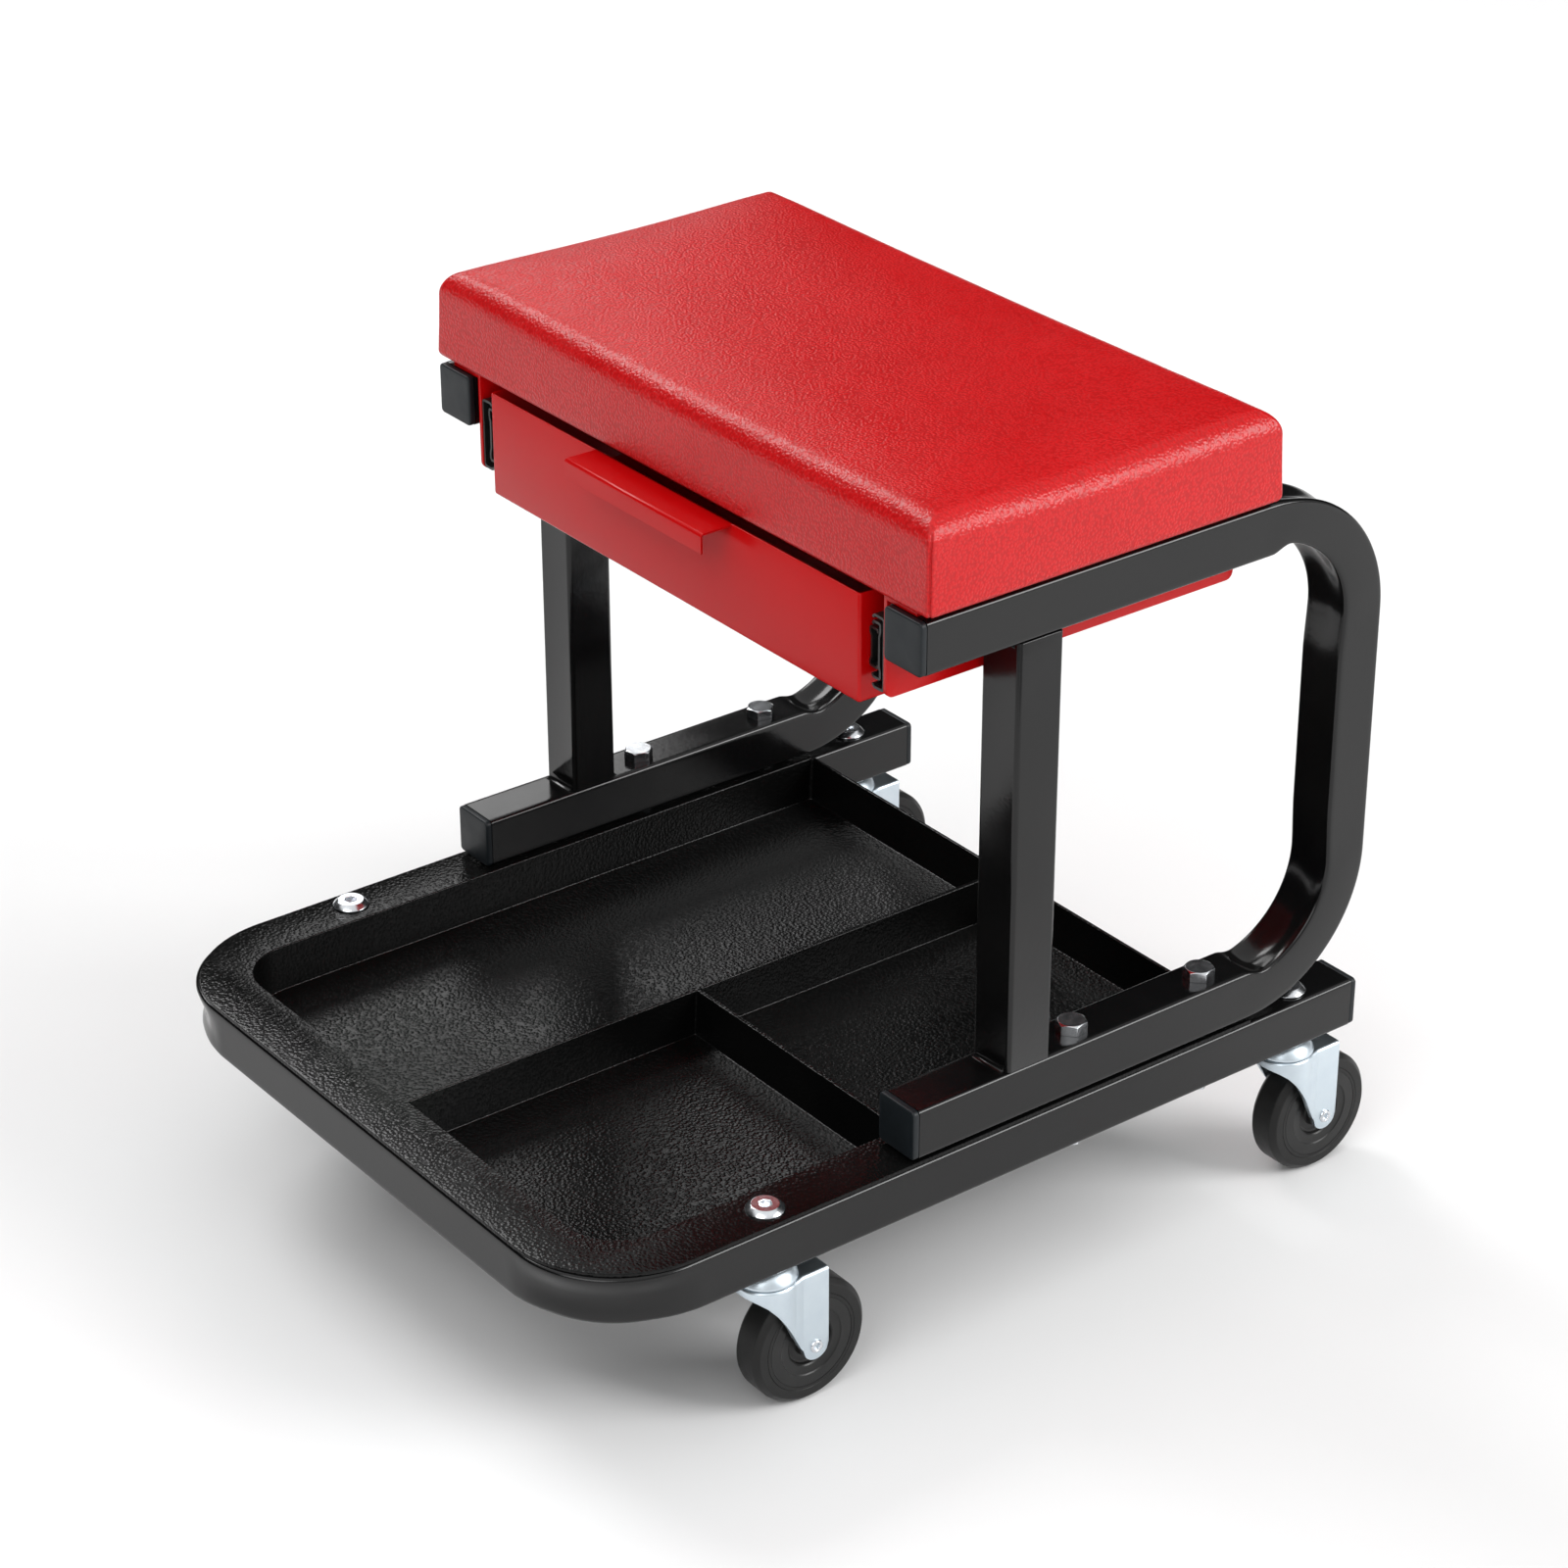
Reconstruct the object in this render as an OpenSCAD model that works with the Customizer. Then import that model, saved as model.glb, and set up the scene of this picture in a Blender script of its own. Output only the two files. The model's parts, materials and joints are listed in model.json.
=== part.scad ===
// Mechanics creeper seat: a padded seat with a drawer, on two bent tube frames that are
// bolted to a U-shaped base with a tool tray and four swivel casters.
// Millimetres. -Y is the front, where the drawer opens, +X is the right-hand side seen from
// the front, +Z is up. The origin is on the floor, below the middle of the whole seat.

/* [Tube] */
// Outside size of the square tube
tube = 25; // [22:0.5:27]
// Wall thickness of the tube
tube_wall = 1.5; // [1.2:0.1:2]
// Corner radius of the tube
tube_corner = 2.2; // [2:0.1:3]

/* [Base] */
// Width over the base tube
base_w = 363; // [350:1:380]
// Length from the front tube to the rear cap faces
base_l = 448; // [440:1:480]
// Outside radius of the base bends
base_bend = 52; // [48:1:56]
// Height of the underside of the base tube
base_z = 78; // [76:0.5:84]

/* [Tool tray] */
// Sheet thickness of the tray
tray_t = 2; // [1.5:0.5:2]
// Depth of the compartments
tray_depth = 23.5; // [18:0.5:24]
// Distance from the front of the base to the back of the tray
tray_l = 380.5; // [370:0.5:390]
// Distance from the front of the base to the cross divider
tray_cross = 190.4; // [120:0.2:240]
// Radius of the tray's front inner corners
tray_corner = 26; // [20:1:26]

/* [Side frames] */
// Height of a side frame, from lower rail to upper rail
side_h = 263; // [255:1:290]
// Length of a side frame without its caps
side_l = 267.5; // [260:0.5:290]
// Distance from the front of the base to the open rail ends
side_setback = 179; // [170:1:185]
// Outside radius of the side frame bends
side_bend = 70; // [60:1:72]
// Distance from the rail ends to the front post
post_setback = 50.5; // [45:0.5:60]

/* [Seat] */
// Width of the cushion
seat_w = 368; // [360:1:380]
// Depth of the cushion
seat_d = 197; // [190:1:205]
// Thickness of the cushion with its board
seat_t = 43; // [38:1:60]
// Thickness of the seat board
board_t = 12; // [10:1:15]

/* [Drawer] */
// Width of the drawer box
drawer_w = 278.6; // [270:0.2:280]
// Height of the drawer box
drawer_h = 51.5; // [46:0.5:52]
// Depth of the drawer box
drawer_d = 195; // [180:1:196]
// Sheet thickness of the drawer
drawer_t = 1.2; // [1:0.1:1.5]
// Width of the pull
pull_w = 104; // [80:1:140]
// How far the pull stands out from the drawer front
pull_out = 16.8; // [14:0.2:20]
// Height of the lip of the pull
pull_lip = 9.5; // [8:0.5:12]
// How far the pull sits off the middle of the drawer
pull_shift = -2.5; // [-10:0.5:10]

/* [Casters] */
// Radius of the wheels
wheel_r = 31; // [29:0.5:32]
// Width of the tread
wheel_w = 17; // [14:0.5:17.5]
// Distance from the swivel axis to the axle
caster_trail = 19; // [17:0.5:20]

/* [Hidden] */
$fn = 48;

FRAME_BLACK = [0.07, 0.07, 0.075];
TRAY_BLACK = [0.12, 0.12, 0.12];
CAP_GREY = [0.18, 0.2, 0.22];
PAINT_RED = [0.78, 0.12, 0.13];
LEATHER_RED = [0.82, 0.14, 0.15];
ZINC = [0.78, 0.84, 0.88];
CHROME = [0.85, 0.86, 0.88];
SLIDE_BLACK = [0.1, 0.1, 0.1];
WHEEL_BLACK = [0.17, 0.17, 0.17];
PLYWOOD = [0.72, 0.58, 0.4];

// Small distance that separates pieces which move past each other
gap = 0.3;
cap_t = 3.5;
rear_stem_inset = 34;
front_stem_setback = 103;
washer_t = 1.6;

// Base, measured along Y from the front face of the front tube
base_front = -(base_l - rear_stem_inset + caster_trail + wheel_r) / 2;
base_rear = base_front + base_l;
base_top = base_z + tube;
arm_x = (base_w - tube) / 2;
front_stem_y = base_front + front_stem_setback;
rear_stem_y = base_rear - rear_stem_inset;

// Side frames
rail_front = base_front + side_setback;
rail_z = base_top + tray_t + washer_t;
rail_top = rail_z + tube;
leg_back = rail_front + side_l;
upper_top = rail_z + side_h;
upper_z = upper_top - tube;
post_y = rail_front + post_setback;
bolt_ys = [rail_front + 98.5, rail_front + 176.5];

// M8 frame bolts and M10 caster bolts
m8_r = 4;
m8_hole = 4.2;
m8_flats = 13;
m10_r = 5;
m10_hole = 5.2;
m10_flats = 16;
button_r = 8.75;
button_h = 5.2;
button_flat_r = 7.2;
socket_flats = 6;

// Drawer slides: u runs from the drawer side (0) out to the bracket (slide_t)
slide_t = 12.7;
slide_h = 35;
slide_sheet = 1.2;
slide_l = 196;
slide_y = rail_front + 1;
slide_z = upper_z - 2;
slide_x = drawer_w / 2;
middle_u = 7.9;
middle_h = 27.2;
inner_h = 19.2;
ball_r = 1.1;
ball_rows = 6;
ball_pitch = 9;

// Seat brackets
bracket_t = 2;
bracket_x = slide_x + slide_t;
bracket_drop = 21.3;
bracket_flange = 22;
bracket_flange_l = 190;
bracket_y = rail_front + 0.5;
bracket_l = 198.5;
seat_z = upper_top + bracket_t + 1;
board_z = upper_top + bracket_t;
seat_front = rail_front + 0.5;
board_inset = 7;
seat_bolt_ys = [rail_front + 24, rail_front + 172];
m6_r = 3;
m6_hole = 3.2;
rivet_r = 2;
rivet_head_r = 3.5;
rivet_head_t = 1;
rivet_ys = [slide_y + 20, slide_y + 150];

// Drawer
drawer_y = rail_front - 2.5;
drawer_z = upper_top - 53.4;

// Casters
fork_t = 2;
fork_half = 12;
fork_top = base_z - 7.4;
fork_disc_r = 15;
fork_back = 26;
fork_leg_front = 12;
axle_r = 3;
bore_play = 0.06;
hub_r = 22.5;
cup_r = 12.8;
race_r = 9;
race_ball_r = 1.3;
race_balls = 12;
stem_end = base_z - 16;

// ---- Profiles and shared shapes -------------------------------------------------

module rounded_rect(w, h, r) {
    square([w - 2 * r, h], center = true);
    square([w, h - 2 * r], center = true);
    for (sx = [-1, 1], sy = [-1, 1])
        translate([sx * (w / 2 - r), sy * (h / 2 - r)]) circle(r);
}

// A rectangle from x -w/2 to w/2 and y 0 to l whose corners at y = 0 are rounded more
module apron(w, l, front_r, rear_r) {
    translate([-w / 2 + front_r, 0]) square([w - 2 * front_r, front_r]);
    translate([-w / 2, front_r]) square([w, l - front_r - rear_r]);
    translate([-w / 2 + rear_r, l - rear_r]) square([w - 2 * rear_r, rear_r]);
    for (s = [-1, 1]) {
        translate([s * (w / 2 - front_r), front_r]) circle(front_r, $fn = 96);
        translate([s * (w / 2 - rear_r), l - rear_r]) circle(rear_r);
    }
}

module tube_section() {
    difference() {
        rounded_rect(tube, tube, tube_corner);
        rounded_rect(tube - 2 * tube_wall, tube - 2 * tube_wall, tube_corner - tube_wall);
    }
}

// A straight tube along +X, centred on the X axis
module tube_run(l) rotate([90, 0, 90]) linear_extrude(l) tube_section();

// A quarter bend in the XY plane, from the +X direction round to +Y, about the origin
module tube_bend(outer_r)
    rotate_extrude(angle = 90, $fn = 96) translate([outer_r - tube / 2, 0]) tube_section();

// Turns a shape drawn in the XY plane so that its X runs along Y and its Y along Z
module stand_up() rotate([90, 0, 90]) children();

module hex_prism(flats, h) cylinder(h = h, r = flats / sqrt(3), $fn = 6);

module at_both_sides() for (s = [-1, 1]) translate([s * arm_x, 0, 0]) children();

// Front left and right, rear left and right: the four swivel axes
module at_casters() {
    at_both_sides() {
        translate([0, front_stem_y, 0]) children();
        translate([0, rear_stem_y, 0]) children();
    }
}

module at_frame_bolts() at_both_sides() for (y = bolt_ys) translate([0, y, 0]) children();

module at_seat_bolts() at_both_sides() for (y = seat_bolt_ys) translate([0, y, 0]) children();

// Plastic cap: a plug that fills the tube and a cover plate, pointing along +Y
module end_cap() {
    plug = 14;
    inside = tube - 2 * tube_wall;
    rotate([-90, 0, 0]) {
        linear_extrude(cap_t) rounded_rect(tube, tube, tube_corner + 0.6);
        translate([0, 0, -plug]) difference() {
            linear_extrude(plug) rounded_rect(inside, inside, tube_corner - tube_wall);
            translate([0, 0, -1]) linear_extrude(plug - 2) square(inside - 5, center = true);
        }
    }
}

// ---- Base -----------------------------------------------------------------------

module base_frame() {
    arm = base_l - cap_t - base_bend;
    bend_y = base_front + base_bend;
    color(FRAME_BLACK) difference() {
        translate([0, 0, base_z + tube / 2]) {
            translate([-base_w / 2 + base_bend, base_front + tube / 2, 0]) tube_run(base_w - 2 * base_bend);
            for (s = [-1, 1])
                translate([s * arm_x, bend_y, 0]) rotate([0, 0, 90]) tube_run(arm);
            translate([base_w / 2 - base_bend, bend_y, 0]) rotate([0, 0, -90]) tube_bend(base_bend);
            translate([-base_w / 2 + base_bend, bend_y, 0]) rotate([0, 0, 180]) tube_bend(base_bend);
        }
        at_frame_bolts() translate([0, 0, base_z - 1]) cylinder(h = tube + 2, r = m8_hole);
        at_casters() translate([0, 0, base_z - 1]) cylinder(h = tube + 2, r = m10_hole);
    }
}

module base_cap(side)
    color(CAP_GREY) translate([side * arm_x, base_rear - cap_t, base_z + tube / 2]) end_cap();

// The tray hangs inside the U by a flange that lies on top of the base tube
module tool_tray() {
    wall_x = base_w / 2 - tube - gap;
    well_w = 2 * (wall_x - tray_t);
    well_y = base_front + tube + gap + tray_t;
    well_l = base_front + tray_l - tray_t - well_y;
    floor_z = base_top + tray_t - tray_depth;
    lip = 0.5;
    rear_r = 5;
    color(TRAY_BLACK) difference() {
        union() {
            translate([0, base_front + lip, base_top]) linear_extrude(tray_t)
                apron(base_w - 2 * lip, tray_l - lip, base_bend, 2);
            translate([0, well_y - tray_t, floor_z - tray_t]) linear_extrude(tray_depth)
                apron(well_w + 2 * tray_t, well_l + 2 * tray_t, tray_corner + tray_t, rear_r + tray_t);
        }
        difference() {
            translate([0, well_y, floor_z]) linear_extrude(tray_depth + 1)
                apron(well_w, well_l, tray_corner, rear_r);
            tray_dividers(well_w, well_y, well_l, floor_z);
        }
        at_frame_bolts() translate([0, 0, base_top - 1]) cylinder(h = tray_t + 2, r = m8_hole);
        at_casters() translate([0, 0, base_top - 1]) cylinder(h = tray_t + 2, r = m10_hole);
    }
}

// One divider along the tray and one across its right-hand half
module tray_dividers(well_w, well_y, well_l, floor_z) {
    divider = 2.4;
    translate([-divider / 2, well_y - 1, floor_z - 1]) cube([divider, well_l + 2, tray_depth + 1]);
    translate([0, base_front + tray_cross - divider / 2, floor_z - 1])
        cube([well_w / 2 + 1, divider, tray_depth + 1]);
}

// ---- Side frames ----------------------------------------------------------------

// A C lying on its back: lower rail, rear leg and upper rail bent from one tube
module side_frame(side) {
    rail = side_l - side_bend;
    bend_y = leg_back - side_bend;
    color(FRAME_BLACK) difference() {
        translate([side * arm_x, 0, 0]) stand_up() {
            translate([rail_front, rail_z + tube / 2, 0]) tube_run(rail);
            translate([rail_front, upper_top - tube / 2, 0]) tube_run(rail);
            translate([leg_back - tube / 2, rail_z + side_bend, 0])
                rotate([0, 0, 90]) tube_run(side_h - 2 * side_bend);
            translate([bend_y, rail_z + side_bend, 0]) rotate([0, 0, -90]) tube_bend(side_bend);
            translate([bend_y, upper_top - side_bend, 0]) tube_bend(side_bend);
        }
        at_frame_bolts() translate([0, 0, rail_z - 1]) cylinder(h = tube + 2, r = m8_hole);
        at_seat_bolts() translate([0, 0, upper_z - 1]) cylinder(h = tube + 2, r = m6_hole);
    }
}

module front_post(side)
    color(FRAME_BLACK)
        translate([side * arm_x, post_y + tube / 2, rail_top])
            linear_extrude(upper_z - rail_top) tube_section();

// Fillet beads in front of and behind each post, at its foot and its head
module post_welds() {
    bead = 3;
    bead_w = tube - 2 * tube_corner - 2;
    color(FRAME_BLACK) at_both_sides()
        translate([0, post_y + tube / 2, 0])
            for (turn = [0, 180], head = [0, 1])
                rotate([0, 0, turn])
                    translate([0, tube / 2, head == 1 ? upper_z : rail_top])
                        mirror([0, 0, head])
                            stand_up() translate([0, 0, -bead_w / 2]) linear_extrude(bead_w)
                                difference() {
                                    square(bead);
                                    translate([bead, bead]) circle(bead);
                                }
}

module rail_cap(side, z)
    color(CAP_GREY)
        translate([side * arm_x, rail_front, z + tube / 2]) rotate([0, 0, 180]) end_cap();

// ---- Frame fasteners ------------------------------------------------------------

nut_h = 4.8;
frame_bolt_end = base_z - nut_h - 0.8;

module frame_bolts() {
    head_h = 5.3;
    color(CHROME) at_frame_bolts() {
        translate([0, 0, rail_top]) intersection() {
            hex_prism(m8_flats, head_h);
            cylinder(h = head_h, r1 = m8_flats / 2 + 4.3, r2 = m8_flats / 2 + 0.2);
        }
        translate([0, 0, frame_bolt_end]) cylinder(h = rail_top - frame_bolt_end, r = m8_r);
    }
}

// A washer on each bolt keeps the rail off the tray's flange
module frame_washers()
    color(CHROME) at_frame_bolts() translate([0, 0, rail_z - washer_t]) difference() {
        cylinder(h = washer_t, r = 8);
        translate([0, 0, -1]) cylinder(h = washer_t + 2, r = m8_hole);
    }

// Thin nuts under the base tube
module frame_nuts()
    color(CHROME) at_frame_bolts() translate([0, 0, base_z - nut_h]) difference() {
        hex_prism(m8_flats, nut_h);
        translate([0, 0, -1]) cylinder(h = nut_h + 2, r = m8_r);
    }

// ---- Seat -----------------------------------------------------------------------

// Bent plate: the flange lies on the upper rail, the plate hangs inside it
module seat_bracket(side) {
    drop = upper_top + bracket_t - (upper_z - bracket_drop);
    corner = 4;
    color(PAINT_RED) translate([0, bracket_y, upper_z - bracket_drop]) mirror([side < 0 ? 1 : 0, 0, 0])
        difference() {
            union() {
                translate([bracket_x, 0, 0]) stand_up() linear_extrude(bracket_t) {
                    translate([corner, 0]) square([bracket_l - 2 * corner, drop]);
                    translate([0, corner]) square([bracket_l, drop - corner]);
                    for (y = [corner, bracket_l - corner]) translate([y, corner]) circle(corner);
                }
                translate([bracket_x, 0, drop - bracket_t]) cube([bracket_flange, bracket_flange_l, bracket_t]);
            }
            for (y = rivet_ys)
                translate([bracket_x - 1, y - bracket_y, slide_z - upper_z + bracket_drop])
                    rotate([0, 90, 0]) cylinder(h = bracket_t + 2, r = rivet_r);
            for (y = seat_bolt_ys)
                translate([arm_x, y - bracket_y, drop - bracket_t - 1])
                    cylinder(h = bracket_t + 2, r = m6_hole);
        }
}

t_nut_flange_r = 7.5;
t_nut_flange_t = 1.2;
t_nut_r = 4;
t_nut_top = board_z + board_t - 0.3;

module seat_board()
    color(PLYWOOD) difference() {
        translate([0, seat_front + seat_d / 2, board_z]) linear_extrude(board_t)
            rounded_rect(seat_w - 2 * board_inset, seat_d - 2 * board_inset, 6);
        at_seat_bolts() {
            translate([0, 0, board_z - 1]) cylinder(h = board_t + 2, r = t_nut_r);
            translate([0, 0, t_nut_top - t_nut_flange_t])
                cylinder(h = t_nut_flange_t + 1, r = t_nut_flange_r);
        }
    }

// Plain block of padding that wraps the board's edges
module seat_cushion()
    color(LEATHER_RED) translate([0, seat_front + seat_d / 2, 0]) difference() {
        translate([0, 0, seat_z]) linear_extrude(seat_t) rounded_rect(seat_w, seat_d, 8);
        translate([0, 0, board_z - 1]) linear_extrude(board_t + 1)
            rounded_rect(seat_w - 2 * board_inset, seat_d - 2 * board_inset, 6);
    }

// M6 bolts up through the rail and the bracket into the board
module seat_bolts()
    color(CHROME) at_seat_bolts() {
        head_h = 3.3;
        translate([0, 0, upper_z - head_h]) cylinder(h = head_h, r = 5.2);
        translate([0, 0, upper_z]) cylinder(h = board_z + board_t - 3 - upper_z, r = m6_r);
    }

module seat_nuts()
    color(ZINC) at_seat_bolts() difference() {
        union() {
            translate([0, 0, board_z + 2]) cylinder(h = t_nut_top - board_z - 2, r = t_nut_r);
            translate([0, 0, t_nut_top - t_nut_flange_t])
                cylinder(h = t_nut_flange_t, r = t_nut_flange_r);
        }
        translate([0, 0, board_z - 1]) cylinder(h = board_t + 3, r = m6_r);
    }

// ---- Drawer slides --------------------------------------------------------------

// Puts a shape whose X is u (0 at the drawer side) and Y is height about the slide's
// middle line on one side, and runs it back from the slide's front end
module on_slide(side, l, start = 0)
    mirror([side < 0 ? 1 : 0, 0, 0])
        translate([slide_x, slide_y + start + l, slide_z])
            rotate([90, 0, 0]) linear_extrude(l) children();

// Channel with its web from u0 to u0 + slide_sheet and both flanges reaching to u1,
// each flange ending in a short lip turned by lip_dir (1 inwards, -1 outwards)
module channel(u0, u1, h, lip_dir) {
    lip = 1;
    reach = u1 > u0 ? u1 - u0 : u0 + slide_sheet - u1;
    start = u1 > u0 ? u0 : u1;
    translate([u0, -h / 2]) square([slide_sheet, h]);
    for (s = [-1, 1]) mirror([0, s < 0 ? 1 : 0]) {
        translate([start, h / 2 - slide_sheet]) square([reach, slide_sheet]);
        translate([u1 > u0 ? u1 - slide_sheet / 2 : u1 + slide_sheet / 2, h / 2 - slide_sheet / 2])
            circle(slide_sheet / 2);
        translate([u1 > u0 ? u1 - slide_sheet : u1, h / 2 - slide_sheet / 2 - (lip_dir > 0 ? lip : 0)])
            square([slide_sheet, lip]);
    }
}

module slide_outer(side)
    color(SLIDE_BLACK) difference() {
        on_slide(side, slide_l) channel(slide_t - slide_sheet, 4, slide_h, 1);
        rivet_holes(side, slide_x + slide_t);
    }

module slide_middle(side)
    color(SLIDE_BLACK) on_slide(side, slide_l - 2, 1) channel(middle_u, 2.6, middle_h, 1);

module slide_inner(side)
    color(SLIDE_BLACK) difference() {
        on_slide(side, slide_l - 4, 2) channel(0, 6.2, inner_h, 1);
        rivet_holes(side, slide_x);
    }

// A strip of balls above and below a thin web, which keeps them apart
module ball_cage(side, web_u, ball_u, ball_z, start) {
    strip_t = 0.7;
    web_t = 0.7;
    l = ball_rows * ball_pitch;
    color(ZINC) {
        on_slide(side, l, start) {
            translate([web_u, -ball_z - strip_t / 2]) square([web_t, 2 * ball_z + strip_t]);
            for (s = [-1, 1])
                translate([ball_u - 1.6, s * ball_z - strip_t / 2]) square([web_u - ball_u + 2.1, strip_t]);
        }
        mirror([side < 0 ? 1 : 0, 0, 0])
            translate([slide_x + ball_u, slide_y + start + ball_pitch / 2, slide_z])
                for (i = [0 : ball_rows - 1], s = [-1, 1])
                    translate([0, i * ball_pitch, s * ball_z]) sphere(ball_r, $fn = 24);
    }
}

module outer_ball_cage(side) ball_cage(side, 9.9, 6.6, 14.95, 60);

module inner_ball_cage(side) ball_cage(side, 6.8, 4.6, 10.95, 75);

module rivet_holes(side, x)
    for (y = rivet_ys)
        translate([side * x, y, slide_z]) rotate([0, 90, 0])
            cylinder(h = 12, r = rivet_r, center = true);

// Rivet through the sheets from x0 to x1, with its flat head beyond x1
module rivet(side, x0, x1) {
    dir = x1 > x0 ? 1 : -1;
    for (y = rivet_ys) mirror([side < 0 ? 1 : 0, 0, 0]) translate([0, y, slide_z]) rotate([0, 90, 0]) {
        translate([0, 0, min(x0, x1)]) cylinder(h = abs(x1 - x0), r = rivet_r);
        translate([0, 0, dir > 0 ? x1 : x1 - rivet_head_t]) cylinder(h = rivet_head_t, r = rivet_head_r);
    }
}

module bracket_rivets()
    color(ZINC) for (s = [-1, 1]) rivet(s, bracket_x - slide_sheet, bracket_x + bracket_t);

module drawer_rivets()
    color(ZINC) for (s = [-1, 1]) rivet(s, slide_x + slide_sheet, slide_x - drawer_t);

// ---- Drawer ---------------------------------------------------------------------

module drawer_body()
    color(PAINT_RED) difference() {
        translate([-drawer_w / 2, drawer_y + drawer_t, drawer_z])
            cube([drawer_w, drawer_d - drawer_t, drawer_h]);
        translate([-drawer_w / 2 + drawer_t, drawer_y + drawer_t - 1, drawer_z + drawer_t])
            cube([drawer_w - 2 * drawer_t, drawer_d - 2 * drawer_t + 1, drawer_h]);
        for (s = [-1, 1]) rivet_holes(s, slide_x);
    }

// Front sheet with its pull, a tab folded out of the top edge and down again
module drawer_front() {
    fold_r = 1.5;
    color(PAINT_RED) {
        translate([0, drawer_y + drawer_t, drawer_z + drawer_h / 2]) rotate([90, 0, 0])
            linear_extrude(drawer_t) rounded_rect(drawer_w, drawer_h, 1.5);
        translate([pull_shift - pull_w / 2, drawer_y, drawer_z + drawer_h]) stand_up()
            linear_extrude(pull_w) {
                translate([-pull_out + fold_r, -drawer_t]) square([pull_out - fold_r, drawer_t]);
                translate([-pull_out, -pull_lip]) square([drawer_t, pull_lip - fold_r]);
                translate([-pull_out + fold_r, -fold_r]) intersection() {
                    difference() {
                        circle(fold_r);
                        circle(fold_r - drawer_t);
                    }
                    translate([-fold_r, 0]) square(fold_r);
                }
            }
    }
}

// ---- Casters --------------------------------------------------------------------

// Socket button screws down through the base tube: the front pair also hold the tray
module caster_bolts()
    color(CHROME) at_both_sides()
        for (place = [[front_stem_y, base_top + tray_t], [rear_stem_y, base_top]])
            translate([0, place[0], 0]) {
                translate([0, 0, stem_end]) cylinder(h = place[1] - stem_end, r = m10_r);
                translate([0, 0, place[1]]) difference() {
                    union() {
                        cylinder(h = 1.2, r = button_r);
                        translate([0, 0, 1.2]) cylinder(h = button_h - 1.2, r1 = button_r, r2 = button_flat_r);
                    }
                    translate([0, 0, button_h - 3.2]) hex_prism(socket_flats, 4);
                }
            }

module caster_nuts() {
    nut_gap = 0.4;
    nut = 5;
    color(ZINC) at_casters() translate([0, 0, fork_top - fork_t - nut_gap - nut]) difference() {
        hex_prism(m10_flats, nut);
        translate([0, 0, -1]) cylinder(h = nut + 2, r = m10_r);
    }
}

// Stamped upper race: a hub against the tube and a skirt over the balls
module caster_cups() {
    roof_z = fork_top + 2 * race_ball_r + 2 * gap;
    color(ZINC) at_casters() rotate_extrude($fn = 64) difference() {
        union() {
            translate([0, roof_z]) square([7.5, base_z - roof_z]);
            polygon([[0, roof_z], [race_r + 1, roof_z], [cup_r - 0.8, fork_top + 0.5],
                [cup_r, fork_top + 0.5], [cup_r, fork_top + 1.6], [race_r + 2.2, roof_z + 1.3],
                [0, roof_z + 1.6]]);
        }
        translate([-1, roof_z - 5]) square([m10_hole + 1, 20]);
    }
}

module caster_balls()
    color(CHROME) at_casters()
        for (i = [0 : race_balls - 1]) rotate([0, 0, 360 / race_balls * i])
            translate([race_r - 0.6, 0, fork_top + gap + race_ball_r]) sphere(race_ball_r, $fn = 24);

// Outline of the fork seen from above: a round front about the stem and two flat cheeks
module fork_outline(inset) {
    circle(fork_disc_r - inset);
    translate([-fork_half + inset, 0]) square([2 * (fork_half - inset), fork_back]);
}

// Outline of the fork seen from the side: the leg, and the web that sweeps to the front
module fork_side() {
    tip_r = (fork_back - fork_leg_front) / 2;
    top = fork_top - wheel_r;
    web_foot = 3;
    translate([caster_trail, 0]) circle(tip_r);
    translate([fork_leg_front, 0]) square([2 * tip_r, top]);
    difference() {
        translate([-fork_disc_r - 1, web_foot]) square([fork_disc_r + 1 + fork_leg_front, top - web_foot]);
        translate([-fork_disc_r - 20, web_foot - 13]) circle(top + 7, $fn = 96);
    }
}

module fork() {
    leg_h = fork_top - wheel_r + 8;
    color(ZINC) difference() {
        union() {
            translate([0, 0, fork_top - fork_t]) linear_extrude(fork_t) fork_outline(0);
            intersection() {
                translate([0, 0, fork_top - leg_h]) linear_extrude(leg_h) difference() {
                    fork_outline(0);
                    fork_outline(fork_t);
                    translate([-fork_half + fork_t, 0])
                        square([2 * (fork_half - fork_t), fork_back + 1]);
                }
                translate([-fork_disc_r - 1, 0, wheel_r])
                    stand_up() linear_extrude(2 * fork_disc_r + 2) fork_side();
            }
        }
        translate([0, 0, fork_top - fork_t - 1]) cylinder(h = fork_t + 2, r = m10_r + bore_play);
        translate([0, caster_trail, wheel_r]) rotate([0, 90, 0])
            cylinder(h = 2 * fork_half + 2, r = axle_r, center = true);
    }
}

// Tubular rivet with a rolled head outside each cheek
module axle() {
    head = 1.3;
    color(CHROME) translate([0, caster_trail, wheel_r]) rotate([0, 90, 0]) {
        cylinder(h = 2 * fork_half, r = axle_r, center = true);
        for (s = [-1, 1])
            translate([0, 0, s * (fork_half + head / 2)])
                cylinder(h = head, r = axle_r + 0.2, center = true);
    }
}

// Moulded hub, dished on both faces, with a boss that runs on the axle
module hub() {
    boss = fork_half - fork_t - 0.5;
    web = 5.5;
    rim = wheel_w / 2;
    color(WHEEL_BLACK) translate([0, caster_trail, wheel_r]) rotate([0, 90, 0])
        rotate_extrude($fn = 96) difference() {
            polygon([[0, -boss], [7, -boss], [8.5, -web], [15, -web], [17, -rim + 0.5], [hub_r, -rim],
                [hub_r, rim], [17, rim - 0.5], [15, web], [8.5, web], [7, boss], [0, boss]]);
            translate([-1, -20]) square([axle_r + bore_play + 1, 40]);
        }
}

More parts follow.
